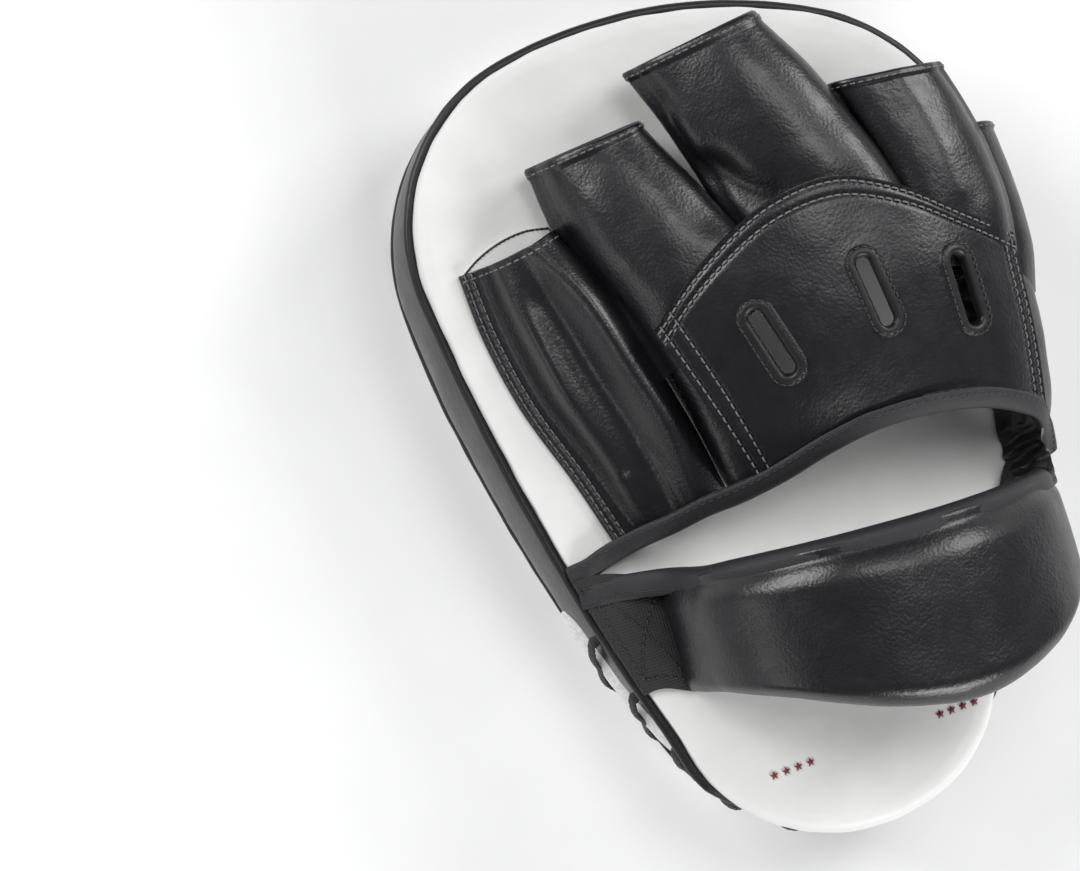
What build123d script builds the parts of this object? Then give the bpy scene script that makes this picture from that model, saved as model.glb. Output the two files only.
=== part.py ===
from build123d import *
import os

# Right-hand focus mitt: an egg-shaped laced pad with an open-fingered glove and a padded wrist cuff.
# Millimetres. The pad lies on its strike face at Z = 0, fingers towards +Y, thumb towards -X.

# Pad outline: three corner circles bridged by three large tangent arcs
pad_length = 257.0
pad_width = 178.0
thumb_shoulder_radius = 58.0
thumb_shoulder_drop = 60.0
little_shoulder_radius = 63.0
little_shoulder_drop = 71.5
wrist_end_radius = 53.5
finger_end_arc = 148.0
thumb_side_arc = 640.0
little_side_arc = 370.0
pad_side_x = pad_width / 2

# Pad build-up
pad_thickness = 52.0
leather = 1.8
face_roll = 4.5
piping_radius = 1.9
strike_foam_thickness = 14.0
core_foam_thickness = 20.0
lining_thickness = 1.5
lining_border = 4.0

# Laced slot round the wrist end of the gusset
slot_height = 15.0
slot_end_y = -38.0
slot_centre_share = 0.52
lace_radius = 1.1
lace_pitch = 20.5
lace_slant = 12.0
lace_hole_clearance = 0.35
lace_hole_margin = 6.0
lace_proud = 0.5
lace_bend = 1.9
lace_sides = 6
lace_search_steps = 2000
knot_radius = 2.4
knot_clearance = 0.3

# Glove shell over the hand
hand_opening_y = -30.0
hand_opening_left_x = -17.0
hand_opening_right_x = pad_side_x - 3.0
hand_opening_half_height = 26.0
hand_front_y = 65.0
hand_front_left_x = -38.0
hand_front_right_x = pad_side_x + 4.0
hand_front_half_height = 31.0
hand_bulge_height = 14.0
shell_lining = 1.2
hem_left = (-24.0, -19.0)
hem_middle = (33.0, -10.5)
hem_right = (pad_side_x - 1.0, -24.0)
front_left = (-42.0, 27.0)
front_middle = (28.0, 63.0)
front_right = (pad_side_x + 6.0, 23.0)
thumb_seam = ((-17.0, -12.0), (-29.0, 32.0))
side_seam_x = pad_side_x - 8.0
binding_width = 5.0
binding_thickness = 1.2

# Vent slots through the knuckle panel: centre and heading from +Y
vent_places = (((1.5, 20.5), 17.0), ((34.5, 26.0), 8.0), ((62.0, 19.0), 2.0))
vent_length = 23.5
vent_width = 5.0
vent_rim_width = 3.2
vent_rim_height = 0.9

# Thumb tunnel: half width and height at its hem, its middle and its rim
thumb_base = (-32.5, -20.5)
thumb_tip = (-58.5, 68.5)
thumb_sizes = ((17.0, 18.0), (18.5, 24.5), (12.5, 19.0))
# Low outer ridge, trough, crest and inner shoulder, as shares of half width and height
thumb_crown = ((-0.62, 0.62), (-0.08, 0.6), (0.5, 1.0), (0.84, 0.78))
thumb_flange = 5.5
thumb_underlay_thickness = 1.2
thumb_underlay_reach = 5.0
thumb_underlay_gap = 0.3

# Finger sleeves: middle of the rim and of the root, half width and height at each, lean, taller neighbour
fingers = {
    "index": ((-29.5, 92.8, 68.0), (-9.5, 33.0, 75.0), (16.5, 9.8), (20.0, 17.0), 16.0, "middle"),
    "middle": ((8.5, 113.0, 74.0), (32.0, 48.0, 80.0), (19.5, 9.8), (23.5, 18.5), 12.0, None),
    "ring": ((60.0, 88.0, 74.5), (68.0, 33.0, 75.5), (16.0, 9.5), (15.5, 13.5), -9.0, "middle"),
    "little": (
        (pad_side_x - 6.5, 65.0, 64.0), (pad_side_x - 5.5, 18.0, 65.0), (9.0, 6.0), (9.5, 6.0), -47.0, "ring"
    ),
}

# Wrist cuff
cuff_centre_x = 14.0
cuff_radius = 62.0
cuff_thickness = 16.0
cuff_top = 110.0
cuff_front_y = -40.0
cuff_rear_y = -97.0
cuff_rear_low_z = 86.0
# Where the rear edge starts to slant forward, and where it ends at the foot
cuff_rear_slants = (((22.0, -97.0), (-48.0, -71.0)), ((42.0, -97.0), (74.0, -71.0)))
tab_width = 31.0
tab_thickness = 1.8
cuff_gap = 0.3

# Z levels that follow from the sizes above
strike_seam_z = face_roll + piping_radius / 2
back_seam_z = pad_thickness - strike_seam_z
gusset_height = back_seam_z - strike_seam_z
slot_z = strike_seam_z + slot_centre_share * gusset_height
core_foam_z = strike_foam_thickness + core_foam_thickness
foam_inset = leather + lining_thickness + 2 * lace_radius + 3 * lace_hole_clearance
hand_axis_z = pad_thickness + hand_bulge_height
cuff_axis_z = pad_thickness + tab_thickness + cuff_gap + tab_width / 2
cuff_axis_y = cuff_front_y - tab_width / 2
tall = 2 * pad_thickness + cuff_top


def bridge_centre(first, second, radius):
    """Centre of the large arc that touches two corner circles from outside."""
    (a, ra), (b, rb) = first, second
    span = (b - a).length
    along = ((radius - ra) ** 2 - (radius - rb) ** 2 + span**2) / (2 * span)
    off = ((radius - ra) ** 2 - along**2) ** 0.5
    unit = (b - a).normalized()
    return a + unit * along + Vector(-unit.Y, unit.X) * off


def corner_circles():
    """Little-finger shoulder, thumb shoulder and wrist end, anticlockwise."""
    little = Vector(pad_width / 2 - little_shoulder_radius, pad_length / 2 - little_shoulder_drop)
    thumb = Vector(thumb_shoulder_radius - pad_width / 2, pad_length / 2 - thumb_shoulder_drop)
    wrist = Vector(0, wrist_end_radius - pad_length / 2)
    return (
        (little, little_shoulder_radius),
        (thumb, thumb_shoulder_radius),
        (wrist, wrist_end_radius),
    )


def arc_about(centre, radius, start, end):
    """Arc from direction start to direction end, the short way round."""
    middle = (start + end).normalized()
    return ThreePointArc(centre + start * radius, centre + middle * radius, centre + end * radius)


def rim_edges(inset, z):
    """Outline arcs, moved in by inset, anticlockwise from the finger end."""
    corners = corner_circles()
    radii = (finger_end_arc, thumb_side_arc, little_side_arc)
    bridges = [
        (bridge_centre(corners[i], corners[(i + 1) % 3], radius), radius)
        for i, radius in enumerate(radii)
    ]
    lift = Vector(0, 0, z)
    edges = []
    for i, (centre, radius) in enumerate(bridges):
        start = (corners[i][0] - centre).normalized()
        corner, corner_radius = corners[(i + 1) % 3]
        end = (corner - centre).normalized()
        following = (corner - bridges[(i + 1) % 3][0]).normalized()
        edges.append(arc_about(centre + lift, radius - inset, start, end))
        edges.append(arc_about(corner + lift, corner_radius - inset, end, following))
    return edges


def slab(inset, low, high):
    """Prism of the pad outline between two heights."""
    return extrude(make_face(Wire(rim_edges(inset, low))), amount=high - low, dir=(0, 0, 1))


def ring(outer_inset, inner_inset, low, high):
    return slab(outer_inset, low, high) - slab(inner_inset, low - 1, high + 1)


def column(outline, low=-tall, high=tall):
    """Upright prism on a closed plan outline."""
    return extrude(make_face(Wire(outline)), amount=high - low, dir=(0, 0, 1)).moved(
        Location((0, 0, low))
    )


def block(low, high):
    """Box between two corners."""
    size = [high[i] - low[i] for i in range(3)]
    return Box(*size, align=Align.MIN).moved(Location(low))


# Pad


def rolled_slab(inset, low, high, roll, bottom):
    """Prism of the outline with its bottom or its top edge rounded over."""
    body = slab(inset, low, high)
    edges = body.edges().group_by(Axis.Z)[0 if bottom else -1]
    return fillet(edges, roll)


def strike_cavity():
    return rolled_slab(2 * leather, leather, strike_seam_z, face_roll - leather, True)


def strike_face():
    return rolled_slab(leather, 0, strike_seam_z, face_roll, True) - strike_cavity()


def strike_foam():
    block_of_foam = slab(foam_inset, strike_seam_z, strike_foam_thickness)
    return strike_cavity() + block_of_foam - lace_knots(knot_clearance)


def core_foam():
    return slab(foam_inset, strike_foam_thickness, core_foam_z) - lace_knots(knot_clearance)


def back_cavity():
    roll = face_roll - leather
    return rolled_slab(2 * leather, back_seam_z, pad_thickness - leather, roll, False)


def back_face():
    return rolled_slab(leather, back_seam_z, pad_thickness, face_roll, False) - back_cavity()


def back_foam():
    block_of_foam = slab(foam_inset, core_foam_z, back_seam_z)
    return back_cavity() + block_of_foam - lace_knots(knot_clearance)


def piping(z):
    edges = rim_edges(piping_radius, z)
    start = edges[0] @ 0
    section = Plane(origin=start, z_dir=edges[0] % 0) * Circle(piping_radius)
    return sweep(section, path=Wire(edges)) - slab(leather, z - pad_thickness, z + pad_thickness)


def slot_cutter():
    """Band round the wrist end with round ends, through the gusset wall."""
    end_radius = slot_height / 2
    straight_y = slot_end_y - end_radius
    band = block(
        (-pad_width, -pad_length, slot_z - end_radius), (pad_width, straight_y, slot_z + end_radius)
    )
    ends = Cylinder(end_radius, 2 * pad_width, rotation=(0, 90, 0)).moved(
        Location((0, straight_y, slot_z))
    )
    return band + ends


def slot_path():
    """Wrist-end stretch of the outline at the middle of the gusset wall, thumb side first."""
    edges = rim_edges(leather / 2, 0)
    return Wire(edges[2:5])


def lace_stations():
    """Distances along the slot path at which the lace leaves an upper hole."""
    path = slot_path()
    inside = [
        path.length * i / lace_search_steps
        for i in range(lace_search_steps)
        if path.position_at(i / lace_search_steps).Y < slot_end_y - slot_height
    ]
    first, last = inside[0], inside[-1] - lace_slant
    count = int((last - first) / lace_pitch)
    pitch = (last - first) / count
    return [first + pitch * i for i in range(count + 1)]


def lace_place(path, distance, z, outward):
    """Point beside the gusset wall, outward from its middle."""
    share = distance / path.length
    point = path.position_at(share)
    along = path.tangent_at(share)
    return Vector(point.X, point.Y, z) + Vector(along.Y, -along.X, 0).normalized() * outward


def lace_levels():
    low = slot_z - slot_height / 2 - lace_hole_margin
    high = slot_z + slot_height / 2 + lace_hole_margin
    return low, high


def lace_holes():
    """Punched holes above and below the slot, as one cutter."""
    path = slot_path()
    low, high = lace_levels()
    reach = foam_inset
    holes = []
    for distance in lace_stations():
        for offset, z in ((0, high), (lace_slant, low)):
            inner = lace_place(path, distance + offset, z, -reach)
            outer = lace_place(path, distance + offset, z, reach)
            plane = Plane(origin=inner, z_dir=outer - inner)
            holes.append(
                extrude(plane * Circle(lace_radius + lace_hole_clearance), amount=2 * reach)
            )
    return holes


def side_gusset():
    wall = ring(0, leather, strike_seam_z + piping_radius, back_seam_z - piping_radius)
    return wall - slot_cutter() - lace_holes()


def slot_lining():
    """Soft white strip behind the slot, pierced by the lace."""
    low, high = lace_levels()
    strip = ring(leather, leather + lining_thickness, low - lining_border, high + lining_border)
    behind = block((-pad_width, -pad_length, 0), (pad_width, slot_end_y + lining_border, tall))
    return strip & behind - lace_holes()


def lace_route():
    """Corners of the lace: out of an upper hole, slanting over the slot, in again and back up inside."""
    path = slot_path()
    low, high = lace_levels()
    outside = leather / 2 + lace_radius + lace_proud
    inside = -(leather / 2 + lining_thickness + lace_radius + lace_hole_clearance)
    points = []
    for distance in lace_stations():
        points.append(lace_place(path, distance, high, inside))
        points.append(lace_place(path, distance, high, outside))
        points.append(lace_place(path, distance + lace_slant, low, outside))
        points.append(lace_place(path, distance + lace_slant, low, inside))
    return points


def side_lace():
    route = FilletPolyline(*lace_route(), radius=lace_bend)
    section = Plane(origin=route @ 0, z_dir=route % 0) * RegularPolygon(lace_radius, lace_sides)
    return sweep(section, path=route)


def lace_knots(grow=0.0):
    """Stopper knot on each end of the lace, inside the pad."""
    route = lace_route()
    knots = []
    for end, before in ((route[0], route[1]), (route[-1], route[-2])):
        away = (end - before).normalized()
        knot = Cylinder(knot_radius + grow, 2 * (knot_radius + grow))
        knots.append(knot.moved(Location(end + away * knot_radius)))
    return knots


# Glove


def hand_section(y, left_x, right_x, half_height, grow):
    plane = Plane(origin=((left_x + right_x) / 2, y, hand_axis_z), x_dir=(1, 0, 0), z_dir=(0, 1, 0))
    return plane * Ellipse((right_x - left_x) / 2 + grow, half_height + grow)


def hand_form(grow=0.0):
    """Flaring half-barrel over the hand, grown by grow all round."""
    opening = (hand_opening_y, hand_opening_left_x, hand_opening_right_x, hand_opening_half_height)
    front = (hand_front_y, hand_front_left_x, hand_front_right_x, hand_front_half_height)
    above = block((-pad_width, -pad_length, pad_thickness), (pad_width, pad_length, tall))
    return loft([hand_section(*opening, grow), hand_section(*front, grow)]) & above


def glove_plan(hem_shift=0.0):
    """Plan of the hand part between its hem and the roots of the fingers."""
    shift = Vector(0, hem_shift)
    left, middle, right = (Vector(*p) - shift for p in (hem_left, hem_middle, hem_right))
    low_left = Vector(front_left[0], left.Y)
    low_right = Vector(front_right[0], right.Y)
    return column(
        [
            Line(low_left, left),
            ThreePointArc(left, middle, right),
            Line(right, low_right),
            Line(low_right, front_right),
            ThreePointArc(front_right, front_middle, front_left),
            Line(front_left, low_left),
        ]
    )


def glove_shell(outer, inner):
    return (hand_form(outer) - hand_form(inner)) & glove_plan()


def thumb_side_region():
    """Everything on the thumb side of the knuckle panel's seam."""
    (x0, y0), (x1, y1) = thumb_seam
    low, high = -pad_length, pad_length
    at_low = x0 + (x1 - x0) * (low - y0) / (y1 - y0)
    at_high = x0 + (x1 - x0) * (high - y0) / (y1 - y0)
    outline = Polyline((low, low), (at_low, low), (at_high, high), (low, high), close=True)
    under = block((-pad_width, -pad_length, -tall), (0, pad_length, hand_axis_z))
    return column(outline.edges()) + under


def side_wall_region():
    """Everything outside the seam along the little finger."""
    under = block((0, -pad_length, -tall), (pad_width, pad_length, hand_axis_z))
    return block((side_seam_x, -pad_length, -tall), (pad_width, pad_length, tall)) + under


def vent_cutter(margin=0.0):
    """Upright slots for all vents, widened by margin."""
    slots = []
    for (x, y), heading in vent_places:
        outline = SlotOverall(vent_length + 2 * margin, vent_width + 2 * margin, rotation=90 + heading)
        slots.append(extrude(outline, amount=tall).moved(Location((x, y, 0))))
    return slots


def knuckle_panel():
    return glove_shell(0, -leather) - thumb_side_region() - side_wall_region() - vent_cutter()


def index_side_panel():
    return glove_shell(0, -leather) & thumb_side_region()


def glove_side_wall():
    return glove_shell(0, -leather) & side_wall_region()


def glove_lining():
    return glove_shell(-leather, -leather - shell_lining) - vent_cutter()


def vent_rims():
    band = hand_form(vent_rim_height) - hand_form(0)
    rims = []
    for outer, inner in zip(vent_cutter(vent_rim_width), vent_cutter()):
        rims.append(band & outer - inner)
    return rims


def hem_binding():
    """Tape folded over the hem of the hand part."""
    skin = hand_form(binding_thickness) - hand_form(-leather - shell_lining - binding_thickness)
    band = glove_plan(binding_thickness) - glove_plan(-binding_width)
    near_hem = block((-pad_width, -pad_length, 0), (pad_width, hem_middle[1] + binding_width, tall))
    hand_tape = skin & band & near_hem
    return hand_tape - glove_shell(0, -leather - shell_lining) - thumb_form(0)


def thumb_length():
    return (Vector(*thumb_tip) - Vector(*thumb_base)).length


def thumb_plane(distance):
    """Plane across the thumb at a distance from its hem, local X towards the fingers and Y up."""
    base = Vector(*thumb_base, pad_thickness)
    along = (Vector(*thumb_tip, pad_thickness) - base).normalized()
    return Plane(origin=base + along * distance, x_dir=(along.Y, -along.X, 0), z_dir=-along)


def thumb_places():
    """Distance, half width and height of the hem, the middle and the rim of the tunnel."""
    distances = (-binding_thickness, thumb_length() / 2, thumb_length())
    return [(distance, *size) for distance, size in zip(distances, thumb_sizes)]


def thumb_stretch(start, end):
    """Everything between two distances along the thumb."""
    face = thumb_plane(start) * Rectangle(4 * pad_width, 4 * tall)
    return extrude(face, amount=start - end)


def thumb_form(grow):
    """Solid tunnel with two ridges, standing on the back face."""
    sections = []
    for distance, half_width, height in thumb_places():
        reach = half_width + grow
        crown = [(x * reach, y * (height + grow)) for x, y in thumb_crown]
        outline = [Spline((-reach, 0), *crown, (reach, 0)), Line((reach, 0), (-reach, 0))]
        sections.append(thumb_plane(distance) * make_face(Wire(outline)))
    return loft(sections)


def thumb_plate(thick):
    """Flat strip under the tunnel's outer foot, out to the edge of the flange."""
    sections = []
    for distance, half_width, _ in thumb_places():
        strip = Rectangle(half_width + thumb_flange, thick, align=(Align.MAX, Align.MIN))
        sections.append(thumb_plane(distance) * strip)
    return loft(sections)


def thumb_shell(grow, thick):
    """Tunnel wall with its flange, grown by grow on both sides."""
    whole = thumb_form(grow) + thumb_plate(thick)
    return whole - thumb_form(-leather - grow) - (hand_form(grow) & glove_plan(grow))


def thumb_sleeve():
    return thumb_shell(0, leather) & thumb_stretch(0, thumb_length())


def thumb_underlay():
    """White layer that closes the thumb tunnel underneath and shows beyond its rim."""
    inset = leather + binding_thickness + thumb_underlay_gap
    hem, rim = thumb_plane(binding_thickness), thumb_plane(thumb_length())
    hem_half, rim_half = thumb_sizes[0][0] - inset, thumb_sizes[-1][0] - inset
    hem_ends = [hem.from_local_coords((x, 0)) for x in (-hem_half, hem_half)]
    rim_ends = [rim.from_local_coords((x, 0)) for x in (-rim_half, rim_half)]
    beyond = rim.offset(-thumb_underlay_reach).origin
    outline = [
        Line(hem_ends[0], rim_ends[0]),
        ThreePointArc(rim_ends[0], beyond, rim_ends[1]),
        Line(rim_ends[1], hem_ends[1]),
        Line(hem_ends[1], hem_ends[0]),
    ]
    return extrude(make_face(Wire(outline)), amount=thumb_underlay_thickness, dir=(0, 0, 1))


def thumb_hem_binding():
    """Tape folded over the thumb's hem, up to where it goes under the hand part's tape."""
    shell = thumb_shell(binding_thickness, leather + binding_thickness)
    tape = (shell & thumb_stretch(-binding_thickness, binding_width)) - thumb_sleeve()
    return tape.solids().sort_by(SortBy.VOLUME)[-1]


def finger_tube(name, grow=0.0):
    rim, root, rim_size, root_size, lean, _ = fingers[name]
    run = Vector(*root[:2]) - Vector(*rim[:2])
    sections = []
    for point, (half_width, half_height) in ((rim, rim_size), (root, root_size)):
        plane = Plane(origin=point, x_dir=(-run.Y, run.X, 0), z_dir=run)
        sections.append(plane * Ellipse(half_width + grow, half_height + grow, rotation=lean))
    return loft(sections)


def finger_sleeve(name):
    """Open tube from its rim to the hand part, closed against its taller neighbour and the thumb."""
    sleeve = finger_tube(name) - finger_tube(name, -leather) - glove_plan()
    neighbour = fingers[name][-1]
    if neighbour:
        sleeve -= finger_tube(neighbour)
    return sleeve - thumb_form(0)


# Wrist cuff


def cuff_side(inset):
    """Everything inside the cuff's side view, with narrow round feet and a wide top, and its rear slants."""
    radius = tab_width / 2 - inset
    front = cuff_axis_y + radius
    back = cuff_axis_y - radius
    rear = cuff_rear_y + inset
    high = cuff_top + cuff_thickness
    outline = [
        Line((0, front, cuff_axis_z), (0, front, high)),
        Line((0, front, high), (0, rear, high)),
        Line((0, rear, high), (0, rear, cuff_rear_low_z)),
        Line((0, rear, cuff_rear_low_z), (0, back, cuff_axis_z)),
        ThreePointArc(
            (0, back, cuff_axis_z),
            (0, cuff_axis_y, cuff_axis_z - radius),
            (0, front, cuff_axis_z),
        ),
    ]
    side = extrude(make_face(Wire(outline)), amount=pad_width, dir=(1, 0, 0), both=True)
    return side - [cuff_corner(start, end, inset) for start, end in cuff_rear_slants]


def cuff_corner(start, end, inset):
    """Upright prism behind one slanting stretch of the rear edge."""
    first, last = Vector(*start) + Vector(0, inset), Vector(*end) + Vector(0, inset)
    beyond = last + (last - first)
    outline = Polyline(first, beyond, (beyond.X, -pad_length), (first.X, -pad_length), close=True)
    return column(outline.edges())


def cuff_arch(outer, inner):
    """Half-round arch over the wrist between two radii, standing at the tabs."""
    centre_z = cuff_top - cuff_radius
    length = pad_length
    shape = Cylinder(outer, length, rotation=(90, 0, 0)) - Cylinder(inner, length, rotation=(90, 0, 0))
    arch = shape.moved(Location((cuff_centre_x, 0, centre_z)))
    foot = pad_thickness + tab_thickness + cuff_gap
    return arch & block((-pad_width, -pad_length, foot), (pad_width, pad_length, tall))


def wrist_pad_foam():
    arch = cuff_arch(cuff_radius - leather, cuff_radius - cuff_thickness + leather)
    return arch & cuff_side(leather)


def wrist_pad_cover():
    arch = cuff_arch(cuff_radius, cuff_radius - cuff_thickness + leather)
    return (arch & cuff_side(0)) - wrist_pad_foam()


def wrist_pad_lining():
    inner = cuff_radius - cuff_thickness
    return cuff_arch(inner + leather, inner) & cuff_side(0)


def wrist_pad_binding():
    """Tape folded over the finger-side edge of the cuff."""
    inner = cuff_radius - cuff_thickness
    tape = cuff_arch(cuff_radius + binding_thickness, inner - binding_thickness)
    edge = block(
        (-pad_width, cuff_front_y - binding_width, cuff_axis_z),
        (pad_width, cuff_front_y + binding_thickness, tall),
    )
    return (tape & edge) - (cuff_arch(cuff_radius, inner) & cuff_side(0))


def tab(x_from, x_to):
    """Webbing tab sewn to the back face under one foot of the cuff."""
    low = (x_from, cuff_axis_y - tab_width / 2, pad_thickness)
    high = (x_to, cuff_axis_y + tab_width / 2, pad_thickness + tab_thickness)
    return block(low, high)


def tab_thumb_side():
    """Reaches from the pad's rim to the inner face of the cuff's foot."""
    reach = cuff_centre_x - cuff_radius + cuff_thickness
    return tab(-pad_width, reach) & slab(leather, pad_thickness, tall)


def tab_little_side():
    inner = cuff_centre_x + cuff_radius - cuff_thickness
    return tab(inner - leather, cuff_centre_x + cuff_radius)


def nodes():
    """Every sub-part by name."""
    shapes = {
        "strike_face": strike_face(),
        "strike_piping": piping(strike_seam_z),
        "strike_foam": strike_foam(),
        "core_foam": core_foam(),
        "back_foam": back_foam(),
        "side_gusset": side_gusset(),
        "slot_lining": slot_lining(),
        "side_lace": side_lace(),
        "lace_knots": lace_knots(),
        "back_piping": piping(back_seam_z),
        "back_face": back_face(),
        "thumb_underlay": thumb_underlay(),
        "thumb_sleeve": thumb_sleeve(),
        "index_side_panel": index_side_panel(),
        "knuckle_panel": knuckle_panel(),
        "glove_side_wall": glove_side_wall(),
        "glove_lining": glove_lining(),
        "vent_rims": vent_rims(),
        "hem_binding": [hem_binding(), thumb_hem_binding()],
        "wrist_pad_cover": wrist_pad_cover(),
        "wrist_pad_foam": wrist_pad_foam(),
        "wrist_pad_lining": wrist_pad_lining(),
        "wrist_pad_binding": wrist_pad_binding(),
        "tab_thumb_side": tab_thumb_side(),
        "tab_little_side": tab_little_side(),
    }
    for name in fingers:
        shapes[name + "_sleeve"] = finger_sleeve(name)
    return shapes


os.makedirs("parts", exist_ok=True)
for name, shape in nodes().items():
    solids = shape if isinstance(shape, list) else [shape]
    solids = [solid for item in solids for solid in item.solids()]
    export_step(Compound(children=solids) if len(solids) > 1 else solids[0], f"parts/{name}.step")
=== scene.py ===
"""Focus mitt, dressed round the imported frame. Shapes are worked out in millimetres, objects are in metres."""

import bpy
import numpy as np
from mathutils import Matrix, Vector, noise


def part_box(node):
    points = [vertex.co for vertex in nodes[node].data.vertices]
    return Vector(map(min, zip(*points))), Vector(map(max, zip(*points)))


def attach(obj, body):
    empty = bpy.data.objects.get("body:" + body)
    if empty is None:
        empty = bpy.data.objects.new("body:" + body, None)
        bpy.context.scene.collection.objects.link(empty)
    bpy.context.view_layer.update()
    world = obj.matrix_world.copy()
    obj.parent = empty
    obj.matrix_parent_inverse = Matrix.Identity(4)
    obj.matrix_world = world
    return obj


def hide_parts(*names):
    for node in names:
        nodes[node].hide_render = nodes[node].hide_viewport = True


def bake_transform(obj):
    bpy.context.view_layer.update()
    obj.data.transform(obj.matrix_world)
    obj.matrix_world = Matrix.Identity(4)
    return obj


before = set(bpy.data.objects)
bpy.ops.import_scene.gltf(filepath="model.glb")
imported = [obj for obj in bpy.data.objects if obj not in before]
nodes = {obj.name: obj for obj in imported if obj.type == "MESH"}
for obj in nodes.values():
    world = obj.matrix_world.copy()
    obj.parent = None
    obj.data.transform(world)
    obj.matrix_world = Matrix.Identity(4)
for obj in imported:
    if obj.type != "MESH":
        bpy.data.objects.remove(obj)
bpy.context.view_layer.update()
MM = 0.001

# ---------------------------------------------------------------- shapes in numbers


def smooth(keys, values, at):
    """Rows of values at rising keys, read at other places along a smooth line."""
    keys = np.asarray(keys, float)
    values = np.asarray(values, float).reshape(len(keys), -1)
    at = np.atleast_1d(np.asarray(at, float))
    gap = np.diff(keys)[:, None]
    rise = np.diff(values, axis=0) / gap
    middle = (rise[:-1] * gap[1:] + rise[1:] * gap[:-1]) / (gap[1:] + gap[:-1])
    slope = np.vstack([rise[:1], middle, rise[-1:]])
    i = np.clip(np.searchsorted(keys, at, side="right") - 1, 0, len(keys) - 2)
    t = ((at - keys[i]) / gap[i, 0])[:, None]
    start = (2 * t**3 - 3 * t**2 + 1) * values[i] + (t**3 - 2 * t**2 + t) * gap[i] * slope[i]
    end = (3 * t**2 - 2 * t**3) * values[i + 1] + (t**3 - t**2) * gap[i] * slope[i + 1]
    return start + end


def lengths(points):
    """Distance along a line at each of its points."""
    return np.concatenate([[0], np.cumsum(np.linalg.norm(np.diff(points, axis=0), axis=1))])


def even(points, step):
    """The same line with its points about one step apart."""
    run = lengths(points)
    count = max(2, int(round(run[-1] / step)) + 1)
    at = np.linspace(0, run[-1], count)
    columns = [np.interp(at, run, points[:, i]) for i in range(points.shape[1])]
    return np.stack(columns, 1)


def line(points, step=1.0):
    """Smooth line through a few points."""
    points = np.array(points, float)
    run = lengths(points)
    return even(smooth(run, points, np.linspace(0, run[-1], 40 * len(points))), step)


def net_surface(net, rows, columns):
    """Smooth surface through a net of points, as an array of rows by columns by 3."""
    net = np.array(net, float)
    high, wide, _ = net.shape
    row_keys = np.concatenate([[0], np.cumsum(np.linalg.norm(np.diff(net, axis=0), axis=2).mean(1))])
    column_keys = np.concatenate([[0], np.cumsum(np.linalg.norm(np.diff(net, axis=1), axis=2).mean(0))])
    down = smooth(row_keys, net, np.linspace(0, row_keys[-1], rows)).reshape(rows, wide, 3)
    flipped = down.transpose(1, 0, 2)
    across = smooth(column_keys, flipped, np.linspace(0, column_keys[-1], columns))
    return across.reshape(columns, rows, 3).transpose(1, 0, 2)


def unit(vectors):
    """The same directions with length 1."""
    return vectors / np.maximum(np.linalg.norm(vectors, axis=-1, keepdims=True), 1e-9)


def normals(grid, wrap=False):
    """Unit normals of a grid, whose columns may close on themselves."""
    down = np.gradient(grid, axis=0)
    if wrap:
        across = (np.roll(grid, -1, axis=1) - np.roll(grid, 1, axis=1)) / 2
    else:
        across = np.gradient(grid, axis=1)
    return unit(np.cross(down, across))


def noise_at(points, size, seed=0.0):
    """Smooth noise from -1 to 1 with lumps of about the given size."""
    flat = (np.asarray(points).reshape(-1, 3) / size + seed).tolist()
    return np.array([noise.noise(Vector(p)) for p in flat]).reshape(points.shape[:-1])


def distance_to(points, path):
    """Distance from each point to a line given by close points."""
    flat = points.reshape(-1, 3)
    nearest = np.full(len(flat), 1e9)
    for start in range(0, len(path), 50):
        gaps = np.linalg.norm(flat[:, None] - path[None, start : start + 50], axis=2)
        nearest = np.minimum(nearest, gaps.min(1))
    return nearest.reshape(points.shape[:-1])


def fold(grid, facing, path, height, width):
    """Raises the grid along a line, or sinks it where height is negative."""
    ridge = height * np.exp(-((distance_to(grid, path) / width) ** 2))
    return grid + facing * ridge[..., None]


def on_grid(grid, down, across):
    """Points of the grid at shares down and across it."""
    rows, columns = grid.shape[:2]
    r = np.clip(np.asarray(down, float), 0, 1) * (rows - 1)
    c = np.clip(np.asarray(across, float), 0, 1) * (columns - 1)
    r0 = np.minimum(r.astype(int), rows - 2)
    c0 = np.minimum(c.astype(int), columns - 2)
    fr, fc = (r - r0)[:, None], (c - c0)[:, None]
    top = grid[r0, c0] * (1 - fc) + grid[r0, c0 + 1] * fc
    low = grid[r0 + 1, c0] * (1 - fc) + grid[r0 + 1, c0 + 1] * fc
    return top * (1 - fr) + low * fr


# ---------------------------------------------------------------- materials


def add(made, kind, **settings):
    """Shader node with its sockets or its properties set by name."""
    node = made.new(kind)
    for key, value in settings.items():
        if key in node.inputs:
            node.inputs[key].default_value = value
        else:
            setattr(node, key, value)
    return node


def ramped(name, low, high, dark, light):
    """Material with object coordinates to start from and a colour ramp for a texture to drive."""
    material = bpy.data.materials.new(name)
    material.use_nodes = True
    made, links = material.node_tree.nodes, material.node_tree.links
    shader = made["Principled BSDF"]
    colour = made.new("ShaderNodeValToRGB")
    for element, place, tone in zip(colour.color_ramp.elements, (low, high), (dark, light)):
        element.position = place
        element.color = (*tone, 1)
    links.new(colour.outputs["Color"], shader.inputs["Base Color"])
    place = add(made, "ShaderNodeTexCoord").outputs["Object"]
    return material, made, links, shader, place, colour.inputs["Fac"]


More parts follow.
